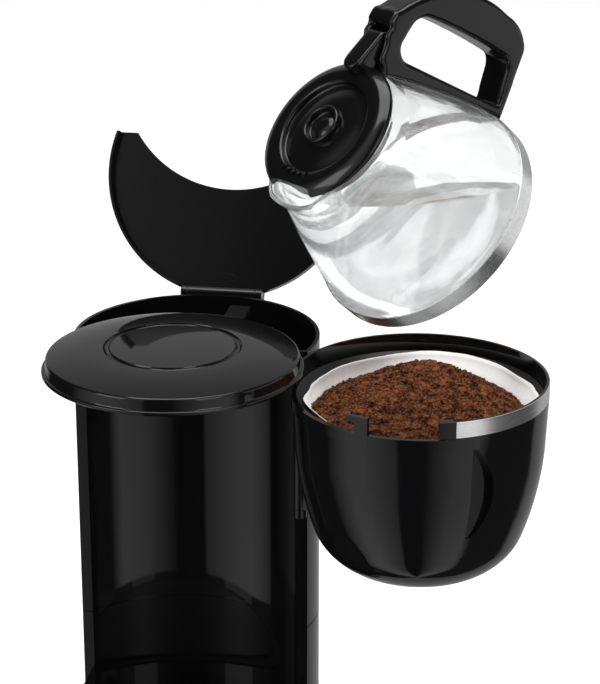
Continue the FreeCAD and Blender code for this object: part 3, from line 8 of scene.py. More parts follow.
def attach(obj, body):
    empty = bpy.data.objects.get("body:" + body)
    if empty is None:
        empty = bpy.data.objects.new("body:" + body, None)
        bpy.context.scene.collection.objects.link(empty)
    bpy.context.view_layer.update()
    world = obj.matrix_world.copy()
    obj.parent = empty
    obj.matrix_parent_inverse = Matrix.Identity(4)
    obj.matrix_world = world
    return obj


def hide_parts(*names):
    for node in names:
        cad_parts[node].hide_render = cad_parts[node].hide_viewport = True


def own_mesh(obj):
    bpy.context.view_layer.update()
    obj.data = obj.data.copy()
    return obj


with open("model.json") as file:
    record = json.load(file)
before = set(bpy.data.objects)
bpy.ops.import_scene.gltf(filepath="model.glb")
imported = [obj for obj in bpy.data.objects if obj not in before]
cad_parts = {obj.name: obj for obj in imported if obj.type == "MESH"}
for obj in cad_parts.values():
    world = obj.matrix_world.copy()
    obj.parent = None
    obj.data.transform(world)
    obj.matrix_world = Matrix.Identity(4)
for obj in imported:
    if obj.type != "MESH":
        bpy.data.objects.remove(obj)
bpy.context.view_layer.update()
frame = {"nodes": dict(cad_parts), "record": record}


# Base: a deep moulding in polished black plastic with a flat deck for the hot plate, closed from below
# by a satin plate. The mould leaves small radii on every edge and a gloss that wanders very slightly.
class Wire:
    """One output in a material's nodes. Sums and products of outputs add Math nodes."""

    def __init__(self, tree, end=None):
        self.tree = tree
        self.end = end

    def node(self, kind, settings, sockets, output=0):
        """Adds a node, sets it, fills its sockets with values or wires and gives one of its outputs."""
        made = self.tree.nodes.new(kind)
        for key, setting in settings.items():
            if key == "stops":
                ramp = made.color_ramp.elements
                while len(ramp) < len(setting):
                    ramp.new(0.5)
                for stop, (place, colour) in zip(ramp, setting):
                    stop.position = place
                    stop.color = colour
            else:
                setattr(made, key, setting)
        for key, filling in sockets.items():
            if isinstance(filling, Wire):
                self.tree.links.new(filling.end, made.inputs[key])
            else:
                made.inputs[key].default_value = filling
        return Wire(self.tree, made.outputs[output] if made.outputs else None)

    def math(self, operation, first, second):
        return self.node("ShaderNodeMath", {"operation": operation}, {0: first, 1: second})

    def __add__(self, other):
        return self.math("ADD", self, other)

    def __radd__(self, other):
        return self.math("ADD", other, self)

    def __mul__(self, other):
        return self.math("MULTIPLY", self, other)

    def __rmul__(self, other):
        return self.math("MULTIPLY", other, self)


def new_finish(name, **constants):
    """A material whose even values sit on the shader itself, with a wire to start its patterns from."""
    material = bpy.data.materials.new(name)
    material.use_nodes = True
    shader = material.node_tree.nodes["Principled BSDF"]
    for key, setting in constants.items():
        shader.inputs[key.replace("_", " ")].default_value = setting
    return material, shader, Wire(material.node_tree)


def feed(shader, socket, wire):
    wire.tree.links.new(wire.end, shader.inputs[socket])


def speckle(start, scale, detail=2, stretch=(1, 1, 1)):
    """Noise over the piece's own coordinates, drawn out along any of its axes."""
    place = start.node("ShaderNodeTexCoord", {}, {}, "Object")
    drawn = start.node("ShaderNodeMapping", {}, {"Vector": place, "Scale": stretch})
    return start.node("ShaderNodeTexNoise", {}, {"Vector": drawn, "Scale": scale, "Detail": detail})


def bumped(height, strength, distance):
    """The normal of a surface that a pattern raises and lowers."""
    sockets = {"Height": height, "Strength": strength, "Distance": distance}
    return height.node("ShaderNodeBump", {}, sockets, "Normal")


def plastic(name, colour, roughness, grain, depth):
    """Moulded plastic: an even colour, gloss that wanders between two levels, and a fine surface grain."""
    material, shader, start = new_finish(name, Base_Color=(*colour, 1), IOR=1.4)
    low, high = roughness
    feed(shader, "Roughness", low + speckle(start, scale=18, detail=3) * (high - low))
    feed(shader, "Normal", bumped(speckle(start, scale=grain), strength=depth, distance=0.0002))
    return material


body_of = {node: body for body, members in frame["record"]["behaviour"]["bodies"].items() for node in members}


def settle(piece, material, *nodes):
    """Gives a finished piece its material and lets it stand for its nodes."""
    piece.data.materials.clear()
    piece.data.materials.append(material)
    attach(piece, body_of[nodes[0]])
    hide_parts(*nodes)
    return piece


def placed(name, contents):
    """A new object in the scene with this mesh, lamp or camera."""
    piece = bpy.data.objects.new(name, contents)
    bpy.context.scene.collection.objects.link(piece)
    return piece


def picked(*pieces):
    """Selects these pieces alone and makes the last one active."""
    bpy.ops.object.select_all(action="DESELECT")
    for piece in pieces:
        piece.select_set(True)
    bpy.context.view_layer.objects.active = pieces[-1]


def cleaned():
    """Merges the active piece's double points and joins its loose triangles into whole faces."""
    bpy.ops.object.mode_set(mode="EDIT")
    bpy.ops.mesh.select_all(action="SELECT")
    bpy.ops.mesh.remove_doubles(threshold=0.00001)
    bpy.ops.mesh.dissolve_limited(angle_limit=math.radians(0.4))
    bpy.ops.object.mode_set(mode="OBJECT")


def copied(node):
    """A copy of the node's solid, cleaned and active."""
    piece = placed(node + "_skin", frame["nodes"][node].data.copy())
    picked(piece)
    cleaned()
    return piece


def modified(piece, kind, **settings):
    """Adds a modifier to the active piece, sets it and applies it."""
    change = piece.modifiers.new("change", kind)
    for key, setting in settings.items():
        setattr(change, key, setting)
    bpy.ops.object.modifier_apply(modifier=change.name)


def smoothed(piece, edge, segments=3, corner=35):
    """Rounds the piece's sharp edges and shades it so that flat faces stay flat."""
    sharp = math.radians(corner)
    if edge:
        modified(piece, "BEVEL", width=edge, segments=segments, limit_method="ANGLE", angle_limit=sharp)
    bpy.ops.object.shade_smooth_by_angle(angle=sharp)
    modified(piece, "WEIGHTED_NORMAL", keep_sharp=True)
    return piece


def true_rounds(piece, *axes):
    """Sets the shading of upright round walls square to the axes that they were turned about."""
    steepest = 0.01
    out_of_round = 0.00008
    widest_facet = 0.2
    mesh = piece.data
    normals = [Vector(corner.vector) for corner in mesh.corner_normals]
    for face in mesh.polygons:
        if abs(face.normal.z) > steepest:
            continue
        for axis_x, axis_y in axes:
            corners = [mesh.vertices[index].co for index in face.vertices]
            spokes = [Vector((corner.x - axis_x, corner.y - axis_y, 0)) for corner in corners]
            lengths = [spoke.length for spoke in spokes]
            spread = max(spokes[0].angle(spoke, 0) for spoke in spokes)
            if max(lengths) - min(lengths) < out_of_round and spread < widest_facet:
                way = 1 if face.normal.dot(spokes[0]) > 0 else -1
                for loop, spoke in zip(face.loop_indices, spokes):
                    normals[loop] = spoke.normalized() * way
                break
    mesh.normals_split_custom_set(normals)
    return piece


def moulded(node, material, edge, segments=3):
    """A finished skin over one node, with its edges rounded."""
    return settle(smoothed(copied(node), edge, segments), material, node)


def combined(piece, tool, operation):
    """Joins the tool to the piece or takes it away from the piece, and clears the tool."""
    picked(piece)
    modified(piece, "BOOLEAN", operation=operation, object=tool)
    bpy.data.objects.remove(tool)


def united(*nodes):
    """One skin over mouldings that are welded flush, so that no seam shows between them."""
    whole = copied(nodes[0])
    for node in nodes[1:]:
        combined(whole, copied(node), "UNION")
    cleaned()
    return whole


BAY_AXIS = (0, 0)
TANK_AXIS = (0, 0.0735)
gloss_black = plastic("gloss_black", (0.004, 0.004, 0.0045), roughness=(0.03, 0.07), grain=900, depth=0.01)
satin_black = plastic("satin_black", (0.008, 0.008, 0.0085), roughness=(0.30, 0.42), grain=2600, depth=0.12)
base_nodes = ("base_housing", "base_rear_wall", "base_bay_wall")
base_skin = smoothed(united(*base_nodes), edge=0.0009)
settle(true_rounds(base_skin, BAY_AXIS, TANK_AXIS), gloss_black, *base_nodes)
moulded("base_plate", satin_black, edge=0.0004, segments=2)

# Feet and screws: soft rubber pads pushed into the base plate, and the zinc-plated screws that hold the
# plate, the heater's clamp and the foot of the jug's handle.
rubber = plastic("rubber", (0.012, 0.012, 0.012), roughness=(0.55, 0.7), grain=1800, depth=0.2)
moulded("rubber_feet", rubber, edge=0.0008)
zinc, shader, start = new_finish("zinc_plate", Base_Color=(0.55, 0.55, 0.56, 1), Metallic=1.0)
feed(shader, "Roughness", 0.28 + speckle(start, scale=700, detail=3) * 0.2)
for fixing in ("base_screws", "clamp_screws", "handle_screw"):
    moulded(fixing, zinc, edge=0.00025, segments=2)


# Hot plate: a pan pressed from steel sheet with a dark, flecked non-stick coat. It is let into the deck and
# lies in a rubber ring that keeps drips out of the base.
def tinted(level, *stops):
    """Colours for a level from 0 to 1, blended between stops of a place and a colour."""
    ramp = [(place, (*colour, 1)) for place, colour in stops]
    return level.node("ShaderNodeValToRGB", {"stops": ramp}, {"Fac": level}, "Color")


coated, shader, start = new_finish("coated_plate", IOR=1.45)
flecks = speckle(start, scale=2600)
coat_black = (0.006, 0.006, 0.006)
coat_dark = (0.018, 0.018, 0.018)
coat_fleck = (0.05, 0.05, 0.05)
feed(shader, "Base Color", tinted(flecks, (0.35, coat_black), (0.75, coat_dark), (0.8, coat_fleck)))
feed(shader, "Roughness", 0.32 + flecks * 0.2)
feed(shader, "Normal", bumped(flecks, strength=0.15, distance=0.0002))
moulded("hot_plate", coated, edge=0.0006)
moulded("hot_plate_seal", rubber, edge=0.0004, segments=2)

# Heater: a cast aluminium ring that a sheet clamp presses to the plate from below. A black thermostat and
# a white fuse are fixed beside it and cut the current when it runs hot.
cast, shader, start = new_finish("cast_aluminium", Base_Color=(0.62, 0.62, 0.63, 1), Metallic=1.0)
pits = speckle(start, scale=420, detail=5)
feed(shader, "Roughness", 0.34 + pits * 0.3)
feed(shader, "Normal", bumped(pits, strength=0.25, distance=0.0004))
moulded("flow_heater", cast, edge=0.0012)
fuse_white = plastic("fuse_white", (0.74, 0.72, 0.68), roughness=(0.35, 0.5), grain=1400, depth=0.15)
moulded("thermal_fuse", fuse_white, edge=0.0003, segments=2)
moulded("thermostat", satin_black, edge=0.0005, segments=2)

# Water lines: dark silicone hoses pushed on the heater's stubs, a check valve moulded in stiff plastic
# under the tank's floor, and the riser tube that takes hot water up to the shower.
for soft in ("inlet_hose", "riser_hose"):
    moulded(soft, rubber, edge=0.0004, segments=2)
for stiff in ("check_valve", "riser_tube"):
    moulded(stiff, satin_black, edge=0.0004, segments=2)

# Switch, lamp and gland: a polished rocker in a satin frame that snaps into the front of the base, a red
# lens beside it, and a rubber gland in the back wall.
lamp_red = plastic("lamp_red", (0.38, 0.012, 0.01), roughness=(0.08, 0.16), grain=900, depth=0.05)
moulded("switch_body", satin_black, edge=0.0006)
moulded("power_rocker", gloss_black, edge=0.0008)
moulded("indicator_lens", lamp_red, edge=0.0008)
moulded("cord_gland", rubber, edge=0.0006)

# Tank: the crescent column behind the bay, in polished black plastic, welded from its walls and a floor.
# The roof's frame reaches forward from its rim and carries the cover. The welds are flush.
tank_nodes = ("tank_wall", "bay_wall", "roof_frame")
tank_skin = smoothed(united(*tank_nodes), edge=0.0009)
settle(true_rounds(tank_skin, BAY_AXIS, TANK_AXIS), gloss_black, *tank_nodes)
moulded("tank_floor", satin_black, edge=0)

# Pins and clamp: stainless rod and sheet, brushed the long way round, so that the streaks run level. The
# pins carry the basket, the tank lid and the jug lid, and the clamp holds the heater.
brushed, shader, start = new_finish("brushed_steel", Metallic=1.0)
streak = speckle(start, scale=1.0, detail=4, stretch=(25, 25, 2400))
feed(shader, "Base Color", tinted(streak, (0.3, (0.68, 0.68, 0.685)), (0.7, (0.86, 0.86, 0.865))))
feed(shader, "Roughness", 0.18 + streak * 0.2)
for steel in ("swing_pin", "lid_pin", "jug_lid_pin", "heater_clamp"):
    moulded(steel, brushed, edge=0.00015, segments=2)

# Shower: a satin round spreader with a ring of holes, let into the roof above the basket, and the flat duct
# of dull black plastic that feeds it from the riser.
moulded("shower_head", satin_black, edge=0.0004, segments=2)
duct_colour = (0.004, 0.004, 0.004, 1)
duct_black, shader, start = new_finish("duct_black", Base_Color=duct_colour, Specular_IOR_Level=0.1)
feed(shader, "Roughness", 0.5 + speckle(start, scale=900, detail=3) * 0.15)
moulded("shower_arm", duct_black, edge=0.0004, segments=2)


# Top cover: a round cap moulded in polished black plastic, with a thin flange, a low dome and a ring groove
# in its middle. It sits on the ring of the roof's frame.
def turned(name, outline, steps=128):
    """A turned piece: its half outline in millimetres, drawn point by point and spun about the axis."""
    bpy.ops.object.select_all(action="DESELECT")
    bpy.ops.mesh.primitive_circle_add(vertices=3, radius=0.001)
    piece = bpy.context.active_object
    piece.name = name
    bpy.ops.object.mode_set(mode="EDIT")
    bpy.ops.mesh.select_all(action="SELECT")
    bpy.ops.mesh.merge(type="CENTER")
    bpy.ops.mesh.select_all(action="SELECT")
    bpy.ops.transform.translate(value=(outline[0][0] / 1000, 0, outline[0][1] / 1000))
    for (radius, height), (next_radius, next_height) in zip(outline, outline[1:]):
        step = ((next_radius - radius) / 1000, 0, (next_height - height) / 1000)
        bpy.ops.mesh.extrude_vertices_move(TRANSFORM_OT_translate={"value": step})
    bpy.ops.mesh.select_all(action="SELECT")
    bpy.ops.mesh.spin(steps=steps, angle=math.tau, center=(0, 0, 0), axis=(0, 0, 1))
    bpy.ops.mesh.select_all(action="SELECT")
    bpy.ops.mesh.remove_doubles(threshold=0.000002)
    bpy.ops.mesh.delete_loose()
    bpy.ops.mesh.select_all(action="SELECT")
    bpy.ops.mesh.normals_make_consistent(inside=False)
    bpy.ops.object.mode_set(mode="OBJECT")
    return piece


def bow(start, middle, end, count):
    """Points after the start on the arc from start to end through the middle."""
    (ax, ay), (bx, by), (cx, cy) = start, middle, end
    double = 2 * (ax * (by - cy) + bx * (cy - ay) + cx * (ay - by))
    a, b, c = ax * ax + ay * ay, bx * bx + by * by, cx * cx + cy * cy
    hub = Vector(((a * (by - cy) + b * (cy - ay) + c * (ay - by)) / double,
                  (a * (cx - bx) + b * (ax - cx) + c * (bx - ax)) / double))
    spoke = Vector(start) - hub
    half_way = Vector(middle) - hub
    sweep = spoke.angle_signed(half_way) + half_way.angle_signed(Vector(end) - hub)
    points = []
    for step in range(1, count + 1):
        angle = -sweep * step / count
        turned_spoke = Vector((spoke.x * math.cos(angle) - spoke.y * math.sin(angle),
                               spoke.x * math.sin(angle) + spoke.y * math.cos(angle)))
        points.append(tuple(hub + turned_spoke))
    return points


flange = [(79, 312), (83.4, 312), (84, 312.5), (84, 313.9), (83.4, 314.5), (82.4, 314.6), (81.9, 315.4)]
side_top = (81.3, 320.4)
dome_edge = (79.6, 322.3)
groove_out = (44.4, 327.2)
groove_in = (40, 327.3)
cover_under = [(0, 326.2), (42, 324.4), (66, 320), (79, 320), (79, 312)]
cover_dome = [
    *bow(side_top, (80.8, 321.6), dome_edge, 5), *bow(dome_edge, (61, 325.9), groove_out, 12),
    *bow(groove_out, (42.2, 325.6), groove_in, 10), *bow(groove_in, (21, 328.0), (0, 328.2), 8)]
cover = turned("top_cover_skin", [*flange, side_top, *cover_dome, *cover_under])
settle(smoothed(cover, edge=0, corner=50), gloss_black, "top_cover")

# Tank lid: a flat crescent with a skirt round its outer edge, moulded in black plastic with less gloss than
# the column. It stands open on the steel pin at the back of the tank.
lid_black = plastic("lid_black", (0.003, 0.003, 0.0033), roughness=(0.14, 0.2), grain=2200, depth=0.05)
moulded("tank_lid", lid_black, edge=0.0008)

# Filter basket: a polished bowl on an upright hinge, its rim stepped down beside the hinge, with a
# brushed band let into the rest of the rim, a catch, and a finger recess in its side.
moulded("basket_shell", gloss_black, edge=0.0005, segments=2)
moulded("trim_band", brushed, edge=0.00015, segments=2)

# Filter holder: a funnel moulded in satin black plastic. It hangs by its rim in the basket and lifts out
# to be emptied.
moulded("filter_holder", satin_black, edge=0.0004, segments=2)

# Filter paper: thin white crepe, pressed into the funnel. Its free edge stands up at the back and the sides,
# bent in and out, and is tucked under the heap at the front.
swing = next(joint for joint in frame["record"]["behaviour"]["joints"] if joint["name"] == "basket_swing")
SWING_ANGLE = -math.radians(swing["range_deg"][0])
SWING_PIN = Vector((*swing["pos_m"][:2], 0))
BASKET_AXIS = SWING_PIN - Matrix.Rotation(SWING_ANGLE, 3, "Z") @ SWING_PIN
FRONT_BEARING = 142
BACK_BEARING = 318
FUNNEL_LOW = 204.1
FUNNEL_RADIUS = 11.8
FUNNEL_SLOPE = 0.622
PAPER_SPOKES = 240
PAPER_LEVELS = 32
PAPER_LOW = 204.6
PAPER_LEAN = 290
PAPER_TOP = 301.2
PAPER_TUCK = 4.6
PAPER_WAVE = 0.3
PAPER_EDGE = [
    (0, 65), (28, 66), (55, 70.6), (71, 76.5), (90, 75), (150, 74.5), (200, 75), (227, 75.8), (238, 73),
    (262, 69), (286, 71.6), (304, 72.5), (321, 72.6), (337, 69), (350, 66), (360, 65)]


def towards(bearing, aim):
    """How far a bearing looks the way of another one, from 0 to 1."""
    return max(0, math.cos(math.radians(bearing - aim)))


def edge_radius(bearing):
    """The paper's free edge, as its distance from the basket's axis by bearing in degrees."""
    bearing = bearing % 360
    for (low, near), (high, far) in zip(PAPER_EDGE, PAPER_EDGE[1:]):
        if low <= bearing <= high:
            share = (bearing - low) / (high - low)
            share = share * share * (3 - 2 * share)
            return near + (far - near) * share


def basket_point(bearing, radius, height):
    """A place in the open basket, with its radius and height in millimetres."""
    angle = math.radians(bearing) + SWING_ANGLE
    return BASKET_AXIS + Vector((radius * math.cos(angle), radius * math.sin(angle), height)) / 1000


def sheet_of(name, rows):
    """A skin through rows of points that each run once round the axis, closed across the first row."""
    count = len(rows[0])
    points = [point for row in rows for point in row]
    faces = []
    for row in range(len(rows) - 1):
        below = row * count
        above = below + count
        for index in range(count):
            after = (index + 1) % count
            faces.append((below + index, below + after, above + after, above + index))
    faces.append(tuple(reversed(range(count))))
    mesh = bpy.data.meshes.new(name)
    mesh.from_pydata(points, [], faces)
    piece = placed(name, mesh)
    picked(piece)
    return piece


def paper_top(bearing):
    """Height of the paper's free edge: full at the back and sides, tucked under the heap at the front."""
    tucked = PAPER_TUCK * min(1, 2.2 * towards(bearing, FRONT_BEARING) ** 2)
    return PAPER_TOP - tucked + PAPER_WAVE * math.sin(math.radians(bearing * 5))


def paper_radius(bearing, height):
    """Distance of the paper from the basket's axis: along the funnel, then leaning to its free edge."""
    funnel = FUNNEL_RADIUS + (height - FUNNEL_LOW) * FUNNEL_SLOPE
    lean = max(0, (height - PAPER_LEAN) / (paper_top(bearing) - PAPER_LEAN))
    return funnel + (edge_radius(bearing) - funnel) * lean ** 1.2


paper_rows = []
for level in range(PAPER_LEVELS + 1):
    share = level / PAPER_LEVELS
    row = []
    for spoke in range(PAPER_SPOKES):
        bearing = spoke * 360 / PAPER_SPOKES
        height = PAPER_LOW + (paper_top(bearing) - PAPER_LOW) * share
        crease = 0.45 * share * noise.noise((bearing / 8, share * 3, 0))
        ripple = 0.12 * share * math.sin(bearing * 1.3)
        row.append(basket_point(bearing, paper_radius(bearing, height) + crease + ripple, height))
    paper_rows.append(row)
paper_piece = sheet_of("paper_filter_skin", paper_rows)
modified(paper_piece, "SOLIDIFY", thickness=0.0004, offset=-1)
bpy.ops.object.shade_smooth()
paper, shader, start = new_finish("filter_paper", Roughness=0.85)
fibre = speckle(start, scale=1500, detail=4)
feed(shader, "Base Color", tinted(fibre, (0.3, (0.80, 0.795, 0.78)), (0.7, (0.90, 0.895, 0.88))))
feed(shader, "Normal", bumped(fibre, strength=0.3, distance=0.0003))
settle(paper_piece, paper, "paper_filter")

# Ground coffee: a loose heap of coarse brown crumbs, poured into the paper. It is higher towards the back
# and level with the stepped rim at the front, and single crumbs lie all over it.
random.seed(11)
PEAK_BEARING = math.radians(316)
PEAK_REACH = 27
HEAP_PEAK = Vector((math.cos(PEAK_BEARING), math.sin(PEAK_BEARING))) * PEAK_REACH
HEAP_TOP = 311.0
HEAP_LOW = 280
HEAP_ROOM = 310.7
HEAP_EDGE = 291.5
HEAP_FRONT_RISE = 6.8
HEAP_BACK_DROP = 4
HEAP_SPILL = 3.6
HEAP_LUMPS = 1.5
HEAP_SPOKES = 225
HEAP_RINGS = 70
CRUMBS = 6000
CRUMB_SIZES = (0.4, 0.5, 0.6, 0.8, 1.1, 1.5)
CRUMB_ROOM = 0.3108


def heap_rim(bearing):
    """Distance and height of the heap's edge: spread to the rim in front, well down the paper at the back."""
    front = towards(bearing, FRONT_BEARING)
    height = HEAP_EDGE + HEAP_FRONT_RISE * front ** 0.7 - HEAP_BACK_DROP * towards(bearing, BACK_BEARING)
    reach = paper_radius(bearing, min(height, 296.5)) - 0.9 + HEAP_SPILL * min(1, 2 * front)
    return reach, height


def heap_point(bearing, share):
    """A point of the heap on the line from its peak to its edge, lumpy like loose crumbs."""
    reach, low = heap_rim(bearing)
    rim = Vector((math.cos(math.radians(bearing)), math.sin(math.radians(bearing)))) * reach
    here = HEAP_PEAK.lerp(rim, share)
    lumps = noise.fractal(Vector((here.x / 6, here.y / 6, 0)), 0.6, 2.2, 5)
    slope = HEAP_TOP + (low - HEAP_TOP) * share ** 1.25
    height = min(HEAP_ROOM, slope + HEAP_LUMPS * lumps * min(1, 4 * (1 - share) + 0.25))
    return basket_point(math.degrees(math.atan2(here.y, here.x)), here.length, height)


heap_bearings = [spoke * 360 / HEAP_SPOKES for spoke in range(HEAP_SPOKES)]
heap_rows = [[basket_point(bearing, heap_rim(bearing)[0] * 0.9, HEAP_LOW) for bearing in heap_bearings]]
for ring in range(HEAP_RINGS, 0, -1):
    heap_rows.append([heap_point(bearing, ring / HEAP_RINGS) for bearing in heap_bearings])
heap = sheet_of("ground_coffee_skin", heap_rows)
bpy.ops.object.mode_set(mode="EDIT")
bpy.ops.mesh.select_all(action="SELECT")
bpy.ops.mesh.fill_holes(sides=0)
bpy.ops.mesh.normals_make_consistent(inside=False)
bpy.ops.object.mode_set(mode="OBJECT")
bpy.ops.object.shade_smooth()

crumb_points = []
crumb_faces = []
bpy.ops.mesh.primitive_ico_sphere_add(subdivisions=1, radius=1)
ball = bpy.context.active_object
ball_points = [point.co.copy() for point in ball.data.vertices]
ball_faces = [tuple(face.vertices) for face in ball.data.polygons]
bpy.data.objects.remove(ball)
for crumb in range(CRUMBS):
    centre = heap_point(random.uniform(0, 360), 0.985 * math.sqrt(random.uniform(0, 1)))
    size = random.choice(CRUMB_SIZES) / 1000
    centre.z = min(CRUMB_ROOM - 1.2 * size, centre.z + random.uniform(-0.0002, 0.0003))
    turn = random.uniform(0, math.tau)
    spin = Matrix.Rotation(turn, 3, Vector((random.gauss(0, 1), random.gauss(0, 1), 1)))
    squash = Matrix.Diagonal((random.uniform(0.7, 1.3), random.uniform(0.7, 1.3), random.uniform(0.6, 1.0)))
    first = len(crumb_points)
    for point in ball_points:
        crumb_points.append(centre + spin @ squash @ point * size * random.uniform(0.8, 1.15))
    crumb_faces.extend(tuple(first + index for index in face) for face in ball_faces)
crumb_mesh = bpy.data.meshes.new("crumbs")
crumb_mesh.from_pydata(crumb_points, [], crumb_faces)
picked(placed("crumbs", crumb_mesh), heap)
bpy.ops.object.join()
grounds, shader, start = new_finish("coffee_grounds", Roughness=0.8, Specular_IOR_Level=0.15)
roast = 0.55 * speckle(start, scale=620, detail=3) + 0.45 * speckle(start, scale=170, detail=3)
feed(shader, "Base Color", tinted(roast, (0.38, (0.006, 0.002, 0.001)), (0.44, (0.035, 0.010, 0.003)),
                                  (0.52, (0.13, 0.040, 0.012)), (0.62, (0.25, 0.085, 0.028))))
feed(shader, "Normal", bumped(speckle(start, scale=1500, detail=3), strength=0.6, distance=0.0004))
settle(heap, grounds, "ground_coffee")

# Drip stop: a black plastic valve with a rubber seal, in a seat in the basket's floor. A steel spring holds
# it shut, and gets a mesh of its own.
for valve in ("valve_seat", "drip_valve"):
    moulded(valve, satin_black, edge=0.0004, segments=2)
moulded("valve_seal", rubber, edge=0.0002, segments=2)
spring = moulded("valve_spring", brushed, edge=0)
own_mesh(spring)

# Jug: clear blown glass with its floor pushed up, its wall drawn in to a narrow neck and its rim pulled out
# to a lip on the pouring side. It is stored tilted, as it is when it fills the tank.
JUG_SPOT = Matrix.Translation((0.1707, -0.0549, 0.4337))
JUG_TURN = Matrix.Rotation(math.radians(47.72), 4, "Z")
JUG_TILT = Matrix.Rotation(math.radians(-49), 4, "Y")
JUG_POSE = JUG_SPOT @ JUG_TURN @ JUG_TILT
JUG_FOOT = 61
JUG_BELLY = 70.2
JUG_NECK = 45.2
JUG_RIM = 42
JUG_WALL = 2.2
RIM_HEIGHT = 103.3
LIP_HEIGHT = 0.1025
LIP_SIDE = -0.0385
LIP_PULL = (-0.0075, 0, -0.0004)
LIP_SPREAD = 0.017


def posed(piece):
    """Moves a piece that was made upright into the jug's tilted place."""
    piece.matrix_world = JUG_POSE
    picked(piece)
    bpy.ops.object.transform_apply(location=True, rotation=True, scale=True)
    return piece


def jug_side(inset):
    """The jug's half outline from the middle of its floor up to its rim, moved in by an inset."""
    middle = (0, 4 + inset)
    foot = (JUG_FOOT - inset, inset)
    belly = (JUG_BELLY - inset, 5 + inset)
    belly_top = (JUG_BELLY - inset, 15)
    neck = (JUG_NECK - inset, 94)
    rim = (JUG_RIM - inset, 101)
    return [
        middle, *bow(middle, (22, 3.2 + inset), (40, inset + 0.3), 6), foot,
        *bow(foot, (JUG_FOOT - inset + 7, inset + 1.75), belly, 6), belly_top,
        *bow(belly_top, (61.6 - inset, 46), neck, 28), *bow(neck, (43 - inset, 98), rim, 4)]


rim_out = (JUG_RIM, RIM_HEIGHT)
rim_in = (JUG_RIM - JUG_WALL, RIM_HEIGHT)
glass_piece = turned("jug_glass_skin", [
    *jug_side(0), rim_out, *bow(rim_out, (40.9, 104), rim_in, 4), *reversed(jug_side(JUG_WALL))], 160)
bpy.ops.object.mode_set(mode="EDIT")
bpy.ops.mesh.select_all(action="DESELECT")
bpy.ops.object.mode_set(mode="OBJECT")
for point in glass_piece.data.vertices:
    point.select = point.co.z > LIP_HEIGHT and point.co.x < LIP_SIDE
bpy.ops.object.mode_set(mode="EDIT")
bpy.ops.transform.translate(
    value=LIP_PULL, use_proportional_edit=True, proportional_edit_falloff="SMOOTH",
    proportional_size=LIP_SPREAD, use_proportional_connected=False)
bpy.ops.object.mode_set(mode="OBJECT")
bpy.ops.object.shade_smooth()
posed(glass_piece)
glass, shader, start = new_finish("clear_glass", Base_Color=(0.985, 0.995, 0.995, 1), Roughness=0.0, IOR=1.47,
                                  Transmission_Weight=1.0, Alpha=0.9)
feed(shader, "Normal", bumped(speckle(start, scale=22), strength=0.25, distance=0.003))
settle(glass_piece, glass, "jug_glass")

# Water: clear tap water in the tilted jug. Its sides reach a little into the glass, so that no gap shows
# between them, and its top is level in the pose that the jug is stored in.
WATER_INSET = 1.9
WATER_LEVEL = 0.468
water = turned("jug_water", [*jug_side(WATER_INSET), (0, 101)])
posed(water)
bpy.ops.object.mode_set(mode="EDIT")
bpy.ops.mesh.select_all(action="SELECT")
bpy.ops.mesh.bisect(plane_co=(0, 0, WATER_LEVEL), plane_no=(0, 0, 1), use_fill=True, clear_outer=True)
bpy.ops.object.mode_set(mode="OBJECT")
bpy.ops.object.shade_smooth_by_angle(angle=math.radians(40))
clear_water, shader, start = new_finish("water", Base_Color=(0.99, 1, 1, 1), Roughness=0.0, IOR=1.33,
                                        Transmission_Weight=1.0, Alpha=0.85)
feed(shader, "Normal", bumped(speckle(start, scale=60), strength=0.15, distance=0.001))
water.data.materials.append(clear_water)
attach(water, "jug")

# Jug band: a bright steel strip, rolled to a ring and drawn tight round the jug's foot. It holds the lower
# end of the handle.
bright, shader, start = new_finish("polished_steel", Metallic=1.0)
lay = speckle(start, scale=1.0, detail=3, stretch=(300, 300, 300))
feed(shader, "Base Color", tinted(lay, (0.3, (0.66, 0.66, 0.67)), (0.7, (0.78, 0.78, 0.785))))
feed(shader, "Roughness", 0.2 + lay * 0.12)
moulded("jug_band", bright, edge=0.0003, segments=2)


# Jug handle: a thick, well rounded grip moulded in black plastic, with a wide finger opening. Two cheeks at
# its head carry the lid's pin, and a screw draws its foot to the band.
def block(low, high, rounding=0):
    """A block between two corners in millimetres, with its edges rounded where that is asked for."""
    bpy.ops.object.select_all(action="DESELECT")
    bpy.ops.mesh.primitive_cube_add(size=1)
    piece = bpy.context.active_object
    piece.scale = [(far - near) / 1000 for near, far in zip(low, high)]
    piece.location = [(far + near) / 2000 for near, far in zip(low, high)]
    bpy.ops.object.transform_apply(location=True, rotation=False, scale=True)
    if rounding:
        modified(piece, "BEVEL", width=rounding / 1000, segments=7)
    return piece


def softened(piece, grain, turns):
    """Runs a joined piece into one skin and rounds off all its edges."""
    picked(piece)
    modified(piece, "REMESH", mode="VOXEL", voxel_size=grain)
    modified(piece, "SMOOTH", factor=0.5, iterations=turns)
    bpy.ops.object.shade_smooth()


